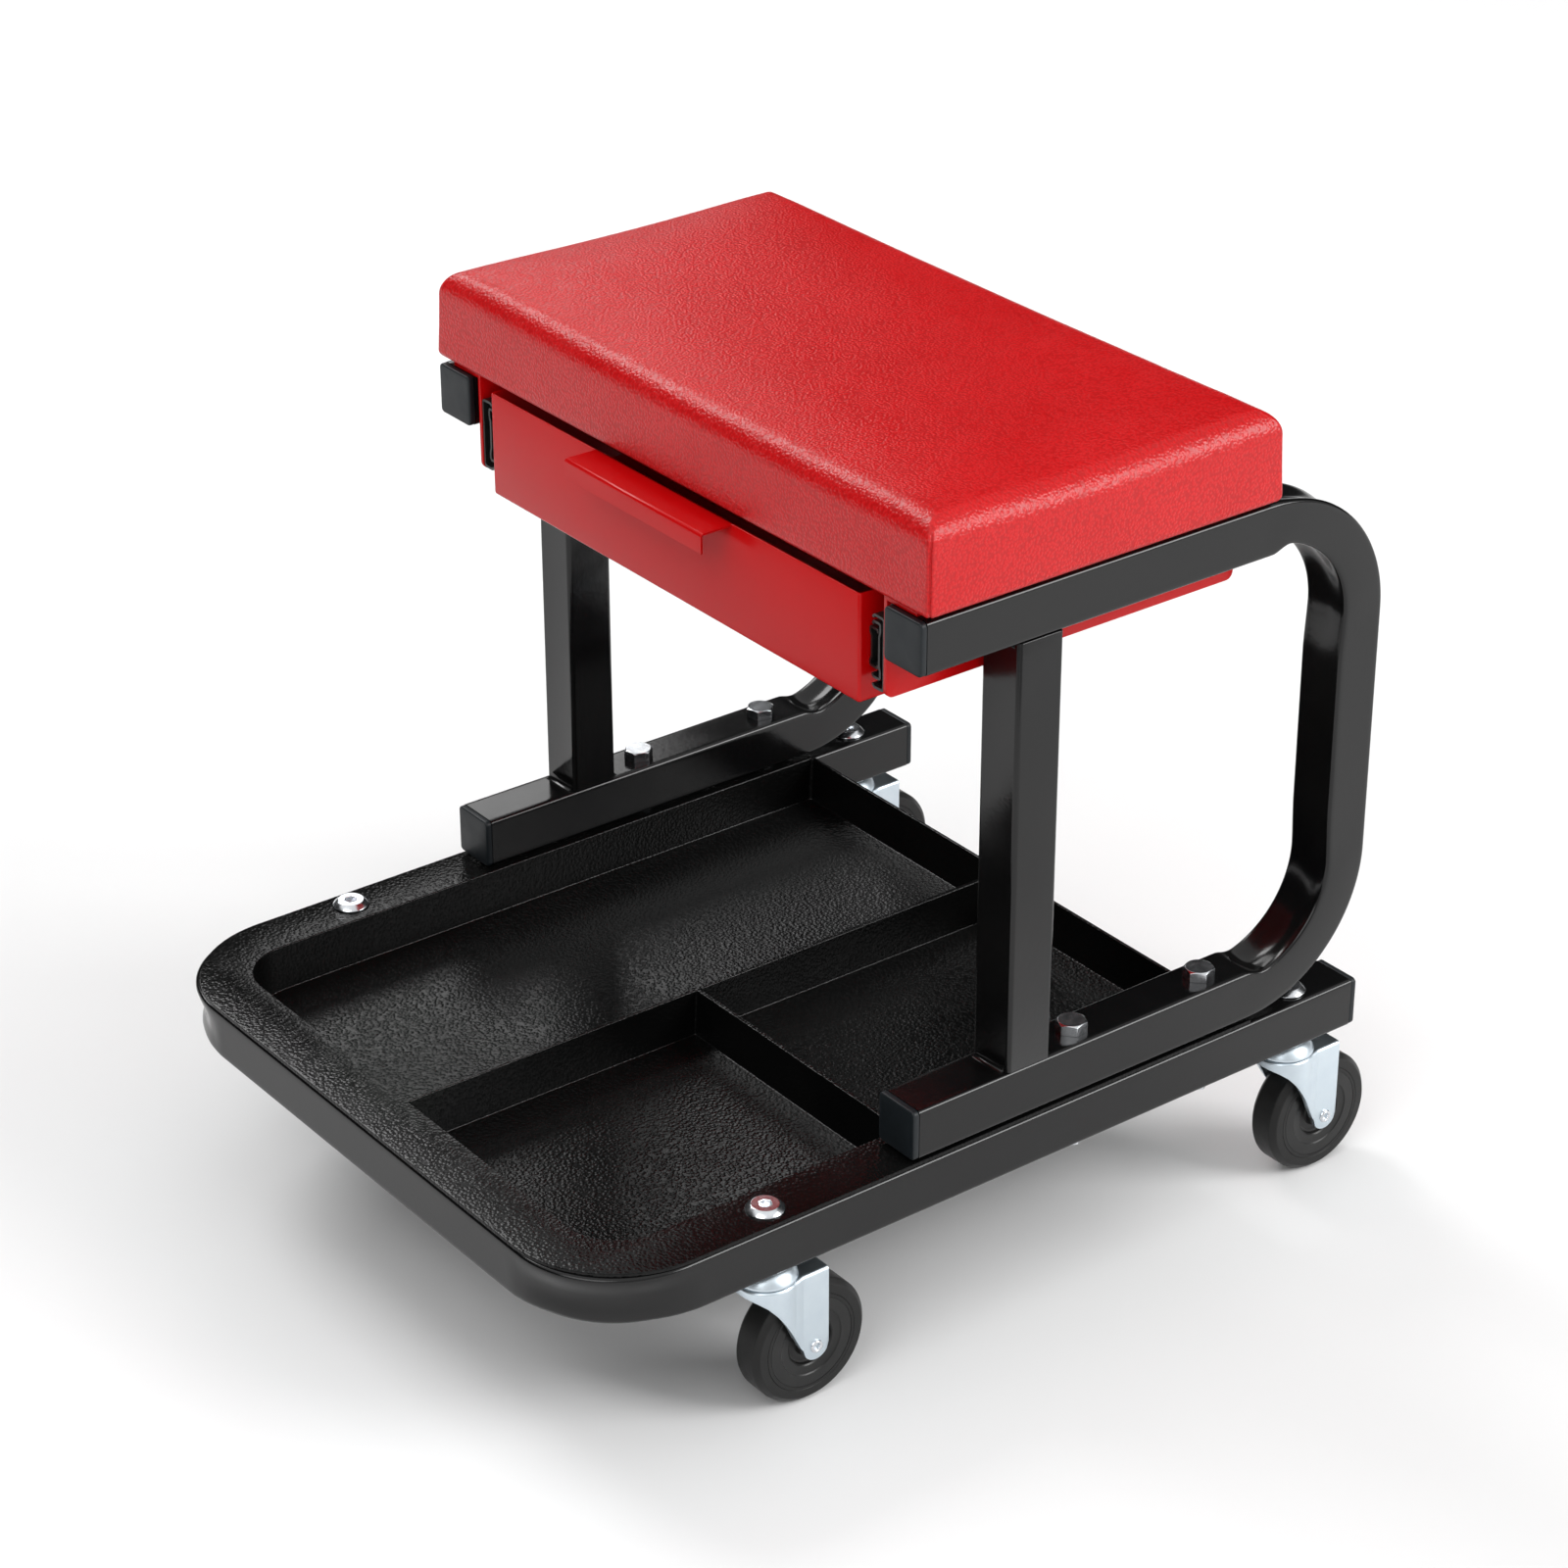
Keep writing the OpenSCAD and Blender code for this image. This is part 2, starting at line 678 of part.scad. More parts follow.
module tyre() {
    chamfer = 2.2;
    color(WHEEL_BLACK) translate([0, caster_trail, wheel_r]) rotate([0, 90, 0])
        rotate_extrude($fn = 96)
            polygon([[hub_r, -wheel_w / 2], [wheel_r - chamfer, -wheel_w / 2 + 0.8],
                [wheel_r, -wheel_w / 2 + 0.8 + chamfer], [wheel_r, wheel_w / 2 - 0.8 - chamfer],
                [wheel_r - chamfer, wheel_w / 2 - 0.8], [hub_r, wheel_w / 2]]);
}

module at_caster(side, y) translate([side * arm_x, y, 0]) children();

// ---- Nodes ----------------------------------------------------------------------

base_frame();
base_cap(-1);  // left_base_cap
base_cap(1);  // right_base_cap
tool_tray();
side_frame(-1);  // left_side_frame
side_frame(1);  // right_side_frame
front_post(-1);  // left_front_post
front_post(1);  // right_front_post
post_welds();
rail_cap(-1, rail_z);  // left_lower_cap
rail_cap(1, rail_z);  // right_lower_cap
rail_cap(-1, upper_z);  // left_upper_cap
rail_cap(1, upper_z);  // right_upper_cap
frame_bolts();
frame_washers();
frame_nuts();
seat_bracket(-1);  // left_seat_bracket
seat_bracket(1);  // right_seat_bracket
seat_board();
seat_cushion();
seat_bolts();
seat_nuts();
slide_outer(-1);  // left_slide_outer
slide_outer(1);  // right_slide_outer
bracket_rivets();
outer_ball_cage(-1);  // left_outer_ball_cage
outer_ball_cage(1);  // right_outer_ball_cage
slide_middle(-1);  // left_slide_middle
slide_middle(1);  // right_slide_middle
inner_ball_cage(-1);  // left_inner_ball_cage
inner_ball_cage(1);  // right_inner_ball_cage
slide_inner(-1);  // left_slide_inner
slide_inner(1);  // right_slide_inner
drawer_body();
drawer_front();
drawer_rivets();
caster_bolts();
caster_nuts();
caster_cups();
caster_balls();
at_caster(-1, front_stem_y) fork();  // front_left_fork
at_caster(-1, front_stem_y) axle();  // front_left_axle
at_caster(-1, front_stem_y) hub();  // front_left_hub
at_caster(-1, front_stem_y) tyre();  // front_left_tyre
at_caster(1, front_stem_y) fork();  // front_right_fork
at_caster(1, front_stem_y) axle();  // front_right_axle
at_caster(1, front_stem_y) hub();  // front_right_hub
at_caster(1, front_stem_y) tyre();  // front_right_tyre
at_caster(-1, rear_stem_y) fork();  // rear_left_fork
at_caster(-1, rear_stem_y) axle();  // rear_left_axle
at_caster(-1, rear_stem_y) hub();  // rear_left_hub
at_caster(-1, rear_stem_y) tyre();  // rear_left_tyre
at_caster(1, rear_stem_y) fork();  // rear_right_fork
at_caster(1, rear_stem_y) axle();  // rear_right_axle
at_caster(1, rear_stem_y) hub();  // rear_right_hub
at_caster(1, rear_stem_y) tyre();  // rear_right_tyre
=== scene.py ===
"""Looks of the rolling creeper seat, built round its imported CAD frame."""

import json
import math

import bmesh
import bpy
import numpy as np
from mathutils import Matrix, Vector
from mathutils.kdtree import KDTree


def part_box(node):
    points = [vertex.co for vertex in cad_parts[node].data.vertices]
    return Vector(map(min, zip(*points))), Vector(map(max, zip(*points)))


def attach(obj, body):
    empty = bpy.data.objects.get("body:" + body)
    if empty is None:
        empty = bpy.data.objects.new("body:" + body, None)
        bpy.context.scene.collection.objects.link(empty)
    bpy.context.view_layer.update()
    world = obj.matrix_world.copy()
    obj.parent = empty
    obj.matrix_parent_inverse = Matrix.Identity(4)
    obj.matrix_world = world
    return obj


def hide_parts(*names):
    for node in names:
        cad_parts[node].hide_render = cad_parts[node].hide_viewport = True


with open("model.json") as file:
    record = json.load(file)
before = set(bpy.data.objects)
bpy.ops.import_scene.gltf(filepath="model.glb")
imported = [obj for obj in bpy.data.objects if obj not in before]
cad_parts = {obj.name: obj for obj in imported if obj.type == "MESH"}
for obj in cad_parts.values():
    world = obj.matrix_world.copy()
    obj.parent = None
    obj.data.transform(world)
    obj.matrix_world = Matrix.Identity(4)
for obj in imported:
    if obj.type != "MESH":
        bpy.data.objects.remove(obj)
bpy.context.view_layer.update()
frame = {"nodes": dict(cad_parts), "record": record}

MM = 0.001
SIDES = {"left": -1, "right": 1}
CASTERS = [f"{end}_{side}" for end in ("front", "rear") for side in SIDES]
SLOT_OF = {s["node"]: s["material_slot"] for s in frame["record"]["subparts"]}


def box_mm(node):
    """The lowest and highest corner of a CAD node, in millimetres."""
    low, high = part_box(node)
    return Vector(low) / MM, Vector(high) / MM


# ---- Places taken from the CAD -----------------------------------------------------

TUBE = 25.0
HALF = TUBE / 2
TUBE_CORNER = 1.8
base_low, base_high = box_mm("base_frame")
tray_low, tray_high = box_mm("tool_tray")
cushion_low, cushion_high = box_mm("seat_cushion")
ARM_X = base_high.x - HALF


# ---- Meshes ------------------------------------------------------------------------


def new_mesh(name, verts, faces):
    """A mesh from points in millimetres."""
    mesh = bpy.data.meshes.new(name)
    mesh.from_pydata([(x * MM, y * MM, z * MM) for x, y, z in verts], [], faces)
    return mesh


def make_piece(name, verts, faces, slot, body, node, sharp):
    """A shaded piece that rides on a body and stands for a CAD node."""
    return dress(new_mesh(name, verts, faces), slot, body, node, sharp)


def placed(name, data):
    """A new object in the scene."""
    piece = bpy.data.objects.new(name, data)
    bpy.context.scene.collection.objects.link(piece)
    return piece


def bevelled(piece, width, angle, harden=True):
    """Rounds the edges that turn by more than an angle."""
    bevel = piece.modifiers.new("bevel", "BEVEL")
    bevel.width = width * MM
    bevel.segments = 2
    bevel.limit_method = "ANGLE"
    bevel.angle_limit = math.radians(angle)
    bevel.harden_normals = harden


def tidy_mesh(mesh):
    """Merges points that coincide, and turns every face outwards."""
    bm = bmesh.new()
    bm.from_mesh(mesh)
    bmesh.ops.remove_doubles(bm, verts=bm.verts, dist=1e-7)
    bmesh.ops.recalc_face_normals(bm, faces=bm.faces)
    bm.to_mesh(mesh)
    bm.free()


def dress(mesh, slot, body, node, sharp):
    """Turns a mesh into a shaded piece of the same name."""
    tidy_mesh(mesh)
    shade(mesh, sharp)
    piece = placed(mesh.name, mesh)
    stand_in(piece, slot, body, node)
    return piece


def stand_in(piece, slot, body, node):
    """Gives a piece its material, and has it ride on a body in place of a CAD node."""
    piece.data.materials.append(MATERIALS[slot])
    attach(piece, body)
    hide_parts(node)


def shade(mesh, sharp):
    """Smooth shading, kept crisp where faces meet at more than sharp degrees."""
    mesh.polygons.foreach_set("use_smooth", [True] * len(mesh.polygons))
    mesh.set_sharp_from_angle(angle=math.radians(sharp))


def loft(loops, ends=True):
    """Points and faces that join equal loops of points in turn."""
    count = len(loops[0])
    verts = [p for ring in loops for p in ring]
    faces = []
    for level in range(len(loops) - 1):
        low = level * count
        for i in range(count):
            j = (i + 1) % count
            faces.append((low + i, low + j, low + count + j, low + count + i))
    if ends:
        faces.append(tuple(reversed(range(count))))
        faces.append(tuple(range(len(verts) - count, len(verts))))
    return verts, faces


def join(*parts):
    """Several (points, faces) pairs as one."""
    verts, faces = [], []
    for more_verts, more_faces in parts:
        start = len(verts)
        verts.extend(more_verts)
        faces.extend(tuple(start + i for i in face) for face in more_faces)
    return verts, faces


def spin(profile, centre, axis, steps):
    """Turns a closed profile of (radius, height) points about an axis through centre."""
    loops = []
    for r, h in profile + profile[:1]:
        loop = []
        for k in range(steps):
            a = math.tau * k / steps
            c, s = r * math.cos(a), r * math.sin(a)
            p = (c, s, h) if axis == "z" else (h, c, s)
            loop.append(tuple(Vector(p) + Vector(centre)))
        loops.append(loop)
    return loft(loops, ends=False)


def arc(cx, cy, r, start, end, steps):
    """Points on a circle's arc, with angles in degrees."""
    points = []
    for k in range(steps + 1):
        a = math.radians(start + (end - start) * k / steps)
        points.append((cx + r * math.cos(a), cy + r * math.sin(a)))
    return points


def outline(x0, y0, x1, y1, radii, steps=8):
    """A rectangle with a radius for each corner: front left, front right, rear right, rear left."""
    fl, fr, rr, rl = radii
    return (
        arc(x0 + fl, y0 + fl, fl, 180, 270, steps)
        + arc(x1 - fr, y0 + fr, fr, 270, 360, steps)
        + arc(x1 - rr, y1 - rr, rr, 0, 90, steps)
        + arc(x0 + rl, y1 - rl, rl, 90, 180, steps)
    )


def smooth_step(x):
    """0 below 0, 1 above 1, and a smooth rise between."""
    x = min(max(x, 0.0), 1.0)
    return x * x * (3 - 2 * x)


# ---- Materials ---------------------------------------------------------------------


class Shader:
    """A procedural material: a Principled shader fed by noise in the piece's own space."""

    def __init__(self, name, colour, roughness, metallic=0.0, **sockets):
        self.material = bpy.data.materials.new(name)
        self.material.use_nodes = True
        self.tree = self.material.node_tree
        self.bsdf = self.tree.nodes["Principled BSDF"]
        self.colour = (*colour, 1.0)
        self.bsdf.inputs["Base Color"].default_value = self.colour
        self.bsdf.inputs["Roughness"].default_value = roughness
        self.bsdf.inputs["Metallic"].default_value = metallic
        for key, value in sockets.items():
            self.bsdf.inputs[key.replace("_", " ")].default_value = value
        self.space = self.add("ShaderNodeTexCoord").outputs["Object"]
        self.normal = None
        self.material.diffuse_color = self.colour

    def add(self, kind, **inputs):
        """Adds a node; each input is a value or the socket to link."""
        node = self.tree.nodes.new(kind)
        for key, value in inputs.items():
            socket = node.inputs[key.replace("_", " ")]
            if isinstance(value, bpy.types.NodeSocket):
                self.tree.links.new(value, socket)
            else:
                socket.default_value = value
        return node

    def stretched(self, x, y, z):
        """The piece's space scaled along each axis."""
        node = self.add("ShaderNodeMapping", Vector=self.space)
        node.inputs["Scale"].default_value = (x, y, z)
        return node.outputs["Vector"]

    def noise(self, scale, detail, roughness=0.5, distortion=0.0, space=None):
        """Noise with features about 1 / scale metres across."""
        node = self.add(
            "ShaderNodeTexNoise",
            Vector=space or self.space,
            Scale=scale,
            Detail=detail,
            Roughness=roughness,
            Distortion=distortion,
        )
        return node.outputs["Fac"]

    def pebbles(self, scale):
        """Leather grain: rounded pebbles, 1 in their middles and 0 in the creases between them."""
        node = self.tree.nodes.new("ShaderNodeTexVoronoi")
        node.feature = "SMOOTH_F1"
        self.tree.links.new(self.space, node.inputs["Vector"])
        node.inputs["Scale"].default_value = scale
        node.inputs["Smoothness"].default_value = 0.35
        return self.span(node.outputs["Distance"], 0.1, 0.7, 1.0, 0.0)

    def span(self, value, low, high, start=0.0, end=1.0):
        """Maps value from low..high to start..end."""
        node = self.tree.nodes.new("ShaderNodeMapRange")
        self.tree.links.new(value, node.inputs["Value"])
        for key, number in zip(("From Min", "From Max", "To Min", "To Max"), (low, high, start, end)):
            node.inputs[key].default_value = number
        return node.outputs["Result"]

    def vary(self, value, other):
        """Mixes the base colour towards another by value."""
        node = self.tree.nodes.new("ShaderNodeMix")
        node.data_type = "RGBA"
        self.tree.links.new(value, node.inputs["Factor"])
        source = self.bsdf.inputs["Base Color"]
        if source.is_linked:
            self.tree.links.new(source.links[0].from_socket, node.inputs["A"])
        else:
            node.inputs["A"].default_value = self.colour
        node.inputs["B"].default_value = (*other, 1.0)
        self.tree.links.new(node.outputs["Result"], source)

    def rough(self, value, low, high):
        """Roughness from low to high as value goes from 0.3 to 0.7."""
        self.tree.links.new(self.span(value, 0.3, 0.7, low, high), self.bsdf.inputs["Roughness"])

    def bump(self, height, distance):
        """Raises the surface by height times distance, in metres."""
        node = self.add("ShaderNodeBump", Height=height, Distance=distance, Strength=1.0)
        if self.normal:
            self.tree.links.new(self.normal, node.inputs["Normal"])
        self.normal = node.outputs["Normal"]
        self.tree.links.new(self.normal, self.bsdf.inputs["Normal"])


def frame_black():
    """Gloss black powder coat with a faint orange peel."""
    s = Shader("frame_black", (0.003, 0.003, 0.0032), 0.16, Specular_IOR_Level=0.38)
    s.vary(s.span(s.noise(14, 3), 0.4, 0.75), (0.005, 0.0048, 0.0046))
    s.rough(s.noise(35, 4, 0.6), 0.13, 0.21)
    s.bump(s.noise(420, 2), 0.00003)
    s.bump(s.noise(45, 2), 0.00005)
    return s.material


def cap_plastic():
    """Blue-grey moulded plastic with a fine spark-eroded grain."""
    s = Shader("cap_plastic", (0.006, 0.0085, 0.0105), 0.42, Specular_IOR_Level=0.3)
    s.vary(s.span(s.noise(60, 3), 0.35, 0.7), (0.0085, 0.0115, 0.014))
    s.rough(s.noise(90, 3), 0.38, 0.5)
    s.bump(s.noise(2600, 2), 0.00004)
    return s.material


def tray_plastic():
    """Black sheet plastic with a pebbled leather grain."""
    s = Shader("tray_plastic", (0.0015, 0.0016, 0.0016), 0.22, Specular_IOR_Level=0.22)
    s.vary(s.span(s.noise(11, 3), 0.35, 0.7), (0.0035, 0.0035, 0.0034))
    s.rough(s.noise(40, 3), 0.19, 0.25)
    s.bump(s.pebbles(600), 0.00014)
    return s.material


def bolt_chrome():
    """Bright plated steel with fine polishing marks."""
    s = Shader("bolt_chrome", (0.74, 0.76, 0.79), 0.2, 1.0)
    s.vary(s.span(s.noise(160, 3), 0.4, 0.7), (0.62, 0.64, 0.67))
    s.rough(s.noise(240, 4), 0.17, 0.26)
    s.bump(s.noise(900, 2, space=s.stretched(1, 1, 4)), 0.00001)
    return s.material


def zinc_steel():
    """Blue-white zinc plate with a soft brushed cloudiness."""
    s = Shader("zinc_steel", (0.62, 0.7, 0.76), 0.36, 1.0)
    s.vary(s.span(s.noise(120, 4, 0.6), 0.35, 0.7), (0.66, 0.74, 0.79))
    s.rough(s.noise(180, 4, 0.6), 0.33, 0.41)
    s.bump(s.noise(1400, 3), 0.000006)
    return s.material


def paint_red():
    """Semi-gloss red powder coat."""
    s = Shader("paint_red", (0.47, 0.0012, 0.002), 0.22, Specular_IOR_Level=0.2)
    s.vary(s.span(s.noise(18, 3), 0.35, 0.7), (0.495, 0.002, 0.003))
    s.rough(s.noise(50, 4), 0.19, 0.27)
    s.bump(s.noise(650, 2), 0.00003)
    return s.material


def leather_red():
    """Red vinyl with a pebbled leather grain, with painted shade darkening its creases."""
    s = Shader("leather_red", (0.5, 0.0035, 0.005), 0.32, Specular_IOR_Level=0.34)
    s.vary(s.span(s.noise(16, 4, 0.6), 0.35, 0.7), (0.55, 0.007, 0.009))
    grain = s.pebbles(720)
    # Painted shade: the creases between the pebbles are mixed towards dark red, as if in shadow
    s.vary(s.span(grain, 0.0, 0.5, 0.5, 0.0), (0.3, 0.001, 0.0015))
    s.rough(s.noise(60, 4), 0.28, 0.36)
    s.bump(grain, 0.00016)
    return s.material


def plywood():
    """Bare plywood: long grain on the faces and thin plies across the edge."""
    s = Shader("plywood", (0.56, 0.38, 0.2), 0.62)
    s.vary(s.span(s.noise(60, 5, 0.6, 0.6, s.stretched(0.12, 1, 1)), 0.35, 0.7), (0.4, 0.24, 0.11))
    plies = s.noise(620, 0, 0, 0, s.stretched(0.01, 0.01, 1))
    s.vary(s.span(plies, 0.4, 0.6, 0.0, 0.45), (0.34, 0.2, 0.09))
    s.rough(s.noise(200, 3), 0.55, 0.72)
    s.bump(s.noise(500, 4, 0.6, 0, s.stretched(0.15, 1, 1)), 0.0001)
    return s.material


def slide_black():
    """Black electrocoated steel with a light film of grease."""
    s = Shader("slide_black", (0.008, 0.008, 0.008), 0.3)
    s.vary(s.span(s.noise(70, 3), 0.4, 0.7), (0.016, 0.015, 0.014))
    s.rough(s.noise(110, 4), 0.22, 0.4)
    s.bump(s.noise(900, 2, space=s.stretched(1, 0.1, 1)), 0.00002)
    return s.material


def hub_plastic():
    """Satin black moulded plastic."""
    s = Shader("hub_plastic", (0.007, 0.007, 0.007), 0.36, Specular_IOR_Level=0.34)
    s.vary(s.span(s.noise(90, 3), 0.35, 0.7), (0.0105, 0.0105, 0.01))
    s.rough(s.noise(130, 3), 0.3, 0.42)
    s.bump(s.noise(1800, 2), 0.00004)
    return s.material


def tyre_rubber():
    """Hard black rubber, slightly dusty on the tread."""
    s = Shader("tyre_rubber", (0.006, 0.006, 0.0058), 0.42, Specular_IOR_Level=0.3)
    s.vary(s.span(s.noise(70, 4, 0.6), 0.35, 0.7), (0.009, 0.0088, 0.0085))
    s.rough(s.noise(150, 4), 0.36, 0.5)
    s.bump(s.noise(1500, 3), 0.00005)
    return s.material


def floor_paint():
    """Plain pale studio floor."""
    s = Shader("floor_paint", (0.84, 0.84, 0.84), 0.6, Specular_IOR_Level=0.1)
    s.vary(s.span(s.noise(0.9, 3), 0.4, 0.7), (0.825, 0.825, 0.828))
    s.bump(s.noise(120, 3), 0.0001)
    return s.material


MATERIALS = {
    make.__name__: make()
    for make in (
        frame_black,
        cap_plastic,
        tray_plastic,
        bolt_chrome,
        zinc_steel,
        paint_red,
        leather_red,
        plywood,
        slide_black,
        hub_plastic,
        tyre_rubber,
    )
}


def finish_cad_nodes():
    """Gives every CAD node its material, welded corners and a small bevel."""
    for name, node in frame["nodes"].items():
        node.data.materials.clear()
        node.data.materials.append(MATERIALS[SLOT_OF[name]])
        weld = node.modifiers.new("weld", "WELD")
        weld.merge_threshold = 1e-6
        bevelled(node, 0.35, 40)
        shade(node.data, 40.0)


# ---- Bent square tube --------------------------------------------------------------

WALL_STEPS = 12
CORNER_STEPS = 4
BEND_STEPS = 40
# Radii of the bends, to the tube's outer wall
BASE_BEND_R = 52.0
SIDE_BEND_R = 70.0
# How far the walls give way in a bend: the outer wall's hollow, the inner wall's squeeze and fold,
# the outer wall's lower edge tucked in and lifted, the sides' swell, and the share of the inner
# wall's crush that is kept at the bend's far end
BASE_CRUSH = dict(hollow=3.4, squeeze=2.0, fold=2.4, tuck=2.2, lift=1.6, swell=0.3, kept=0.8)
SIDE_CRUSH = dict(hollow=3.0, squeeze=4.4, fold=3.0, tuck=0.0, lift=0.0, swell=0.4, kept=0.3)
LOWER_SQUEEZE = 3.2


def tube_section():
    """The tube's section as (outward, sideways) points, wall by wall."""
    flat = HALF - TUBE_CORNER
    wall = [(HALF, -flat + 2 * flat * k / WALL_STEPS) for k in range(WALL_STEPS + 1)]
    wall += arc(flat, flat, TUBE_CORNER, 0, 90, CORNER_STEPS)[1:-1]
    section = []
    for _ in range(4):
        section += wall
        wall = [(-b, n) for n, b in wall]
    return section


SECTION = tube_section()


def crushed(n, b, crush):
    """Where a point of the section goes in a bend that was crushed by the bending tool."""
    middle = math.cos(math.pi * b / TUBE) ** 2
    outer = max(0.0, n / HALF) ** 3
    inner = max(0.0, -n / HALF)
    under = max(0.0, -b / HALF)
    moved = n - outer * (crush["hollow"] * middle + crush["tuck"] * under)
    moved += inner * (crush["squeeze"] + crush["fold"] * middle)
    swell = crush["swell"] * max(0.0, 1 - (n / HALF) ** 2)
    return moved, b * (1 + swell / HALF) + crush["lift"] * outer * under


def bent_route(start, heading, parts):
    """Stations (x, y, heading, travelled) along straight runs and left-hand right-angle bends,
    with the travelled span of each bend."""
    x, y = start
    travelled = 0.0
    stations, bends = [], []
    for kind, size in parts:
        if kind == "run":
            near = min(30.0, size / 2)
            marks = [near * k / 12 for k in range(13)]
            marks += [size - near * k / 12 for k in range(12, -1, -1)]
            ahead, across = math.cos(heading), math.sin(heading)
            for mark in sorted(set(round(m, 4) for m in marks)):
                stations.append((x + mark * ahead, y + mark * across, heading, travelled + mark))
            x += size * ahead
            y += size * across
            travelled += size
        else:
            cx = x - size * math.sin(heading)
            cy = y + size * math.cos(heading)
            for k in range(1, BEND_STEPS):
                angle = math.pi / 2 * k / BEND_STEPS
                turn = heading + angle
                place = cx + size * math.sin(turn), cy - size * math.cos(turn)
                stations.append((*place, turn, travelled + size * angle))
            bends.append((travelled, travelled + size * math.pi / 2))
            heading += math.pi / 2
            x = cx + size * math.sin(heading)
            y = cy - size * math.cos(heading)
            travelled += size * math.pi / 2
    return stations, bends


def bend_crush(travelled, bends, shapes):
    """How much the section is crushed at a station. The inner wall gives way where a bend starts
    from its long rail and recovers towards the other end; each shape says which end that is."""
    total = dict.fromkeys(("hollow", "squeeze", "fold", "tuck", "lift", "swell"), 0.0)
    for (start, end), shape in zip(bends, shapes):
        span = end - start
        into = travelled - start if shape["rail_first"] else end - travelled
        open_wall = smooth_step((into + 8) / 24) * smooth_step((span + 8 - into) / 24)
        recover = 1 - (1 - shape["kept"]) * min(max(into / span, 0), 1)
        inner_wall = smooth_step((into + 1) / 14) * recover * smooth_step((span + 24 - into) / 28)
        for key in ("hollow", "tuck", "lift", "swell"):
            total[key] += shape[key] * open_wall
        for key in ("squeeze", "fold"):
            total[key] += shape[key] * inner_wall
    return total


def bent_tube(name, stations, bends, shapes, place, node):
    """Sweeps the section along a flat route; place turns (x, y, sideways) into a point."""
    loops = []
    for x, y, heading, travelled in stations:
        crush = bend_crush(travelled, bends, shapes)
        nx, ny = math.sin(heading), -math.cos(heading)
        loop = []
        for n, b in SECTION:
            out, side = crushed(n, b, crush)
            loop.append(place(x + nx * out, y + ny * out, side))
        loops.append(loop)
    verts, faces = loft(loops)
    make_piece(name, verts, faces, "frame_black", "frame", node, 60)


def base_tube():
    """The U: an arm, a bend, the front, a bend and an arm."""
    bend = BASE_BEND_R - HALF
    arm = base_high.y - base_low.y - BASE_BEND_R
    front = base_high.x * 2 - BASE_BEND_R * 2
    parts = [("run", arm), ("bend", bend), ("run", front), ("bend", bend), ("run", arm)]
    stations, bends = bent_route((-ARM_X, base_high.y), -math.pi / 2, parts)
    shapes = [dict(BASE_CRUSH, rail_first=True), dict(BASE_CRUSH, rail_first=False)]
    mid_z = (base_low.z + base_high.z) / 2

    def lying(x, y, sideways):
        return x, y, mid_z + sideways

    bent_tube("base_tube", stations, bends, shapes, lying, "base_frame")


def side_tube(side, sign):
    """A side frame: the lower rail, a bend, the leg, a bend and the upper rail."""
    node = f"{side}_side_frame"
    low, high = box_mm(node)
    bend = SIDE_BEND_R - HALF
    rail = high.y - low.y - SIDE_BEND_R
    leg = high.z - low.z - 2 * SIDE_BEND_R
    parts = [("run", rail), ("bend", bend), ("run", leg), ("bend", bend), ("run", rail)]
    stations, bends = bent_route((low.y, low.z + HALF), 0.0, parts)
    lower = dict(SIDE_CRUSH, rail_first=True, squeeze=LOWER_SQUEEZE)
    upper = dict(SIDE_CRUSH, rail_first=False)

    def standing(y, z, sideways):
        return sign * ARM_X + sideways, y, z

    bent_tube(f"{side}_side_tube", stations, bends, (lower, upper), standing, node)


# ---- End caps ----------------------------------------------------------------------

CAP_PLATE = 3.5
CAP_ROUND = 0.9
CAP_CORNER = 2.4


def end_cap(name, facing):
    """A moulded cap with softly rounded edges and a faintly domed face."""
    low, high = box_mm(name)
    cx, cz = (low.x + high.x) / 2, (low.z + high.z) / 2
    edge = high.y - CAP_PLATE if facing > 0 else low.y + CAP_PLATE
    steps = [(0.0, 0.45), (0.25, 0.12), (0.5, 0.0)]
    for a in (0, 0.4, 0.8, 1.2, 1.57):
        rise = CAP_PLATE - 1.1 + CAP_ROUND * math.sin(a)
        steps.append((rise, CAP_ROUND * (1 - math.cos(a))))
    steps += [(CAP_PLATE - 0.14, 3.0), (CAP_PLATE - 0.06, 6.5), (CAP_PLATE, 10.5)]
    loops = []
    for rise, inset in steps:
        r = max(CAP_CORNER - inset, 0.6)
        half = HALF - inset
        ring = outline(-half, -half, half, half, (r,) * 4, 6)
        loops.append([(cx + x, edge + facing * rise, cz + z) for x, z in ring])
    make_piece(name + "_cover", *loft(loops), "cap_plastic", "frame", name, 50)


def end_caps():
    """Two caps at the base's rear ends, and one at the front end of each rail."""
    for side in SIDES:
        for place, facing in (("base", 1), ("lower", -1), ("upper", -1)):
            end_cap(f"{side}_{place}_cap", facing)


# ---- Bolts -------------------------------------------------------------------------

HEX_STEPS = 72
HEX_HALF_FLATS = 6.5
HEX_HEIGHT = 5.3
# A hexagon head's flat top, as a share of the distance across its flats, and its chamfer's slope
HEX_TOP = 0.97
HEX_CHAMFER = 0.62
FRAME_BOLT_SPACING = 78.0


def hex_turned(x, y, turn, rows):
    """Points and faces round an upright axis. Each row is (radius, height, share): share 0 keeps
    the radius round and 1 makes it half the distance across a hexagon's flats."""
    per_flat = HEX_STEPS // 6
    loops = []
    for radius, height, share in rows:
        loop = []
        for k in range(HEX_STEPS):
            a = math.radians(turn) + math.tau * k / HEX_STEPS
            off = math.tau * (k % per_flat - per_flat / 2) / HEX_STEPS
            r = radius * (1 + share * (1 / math.cos(off) - 1))
            loop.append((x + r * math.cos(a), y + r * math.sin(a), height))
        loops.append(loop)
    return loft(loops)


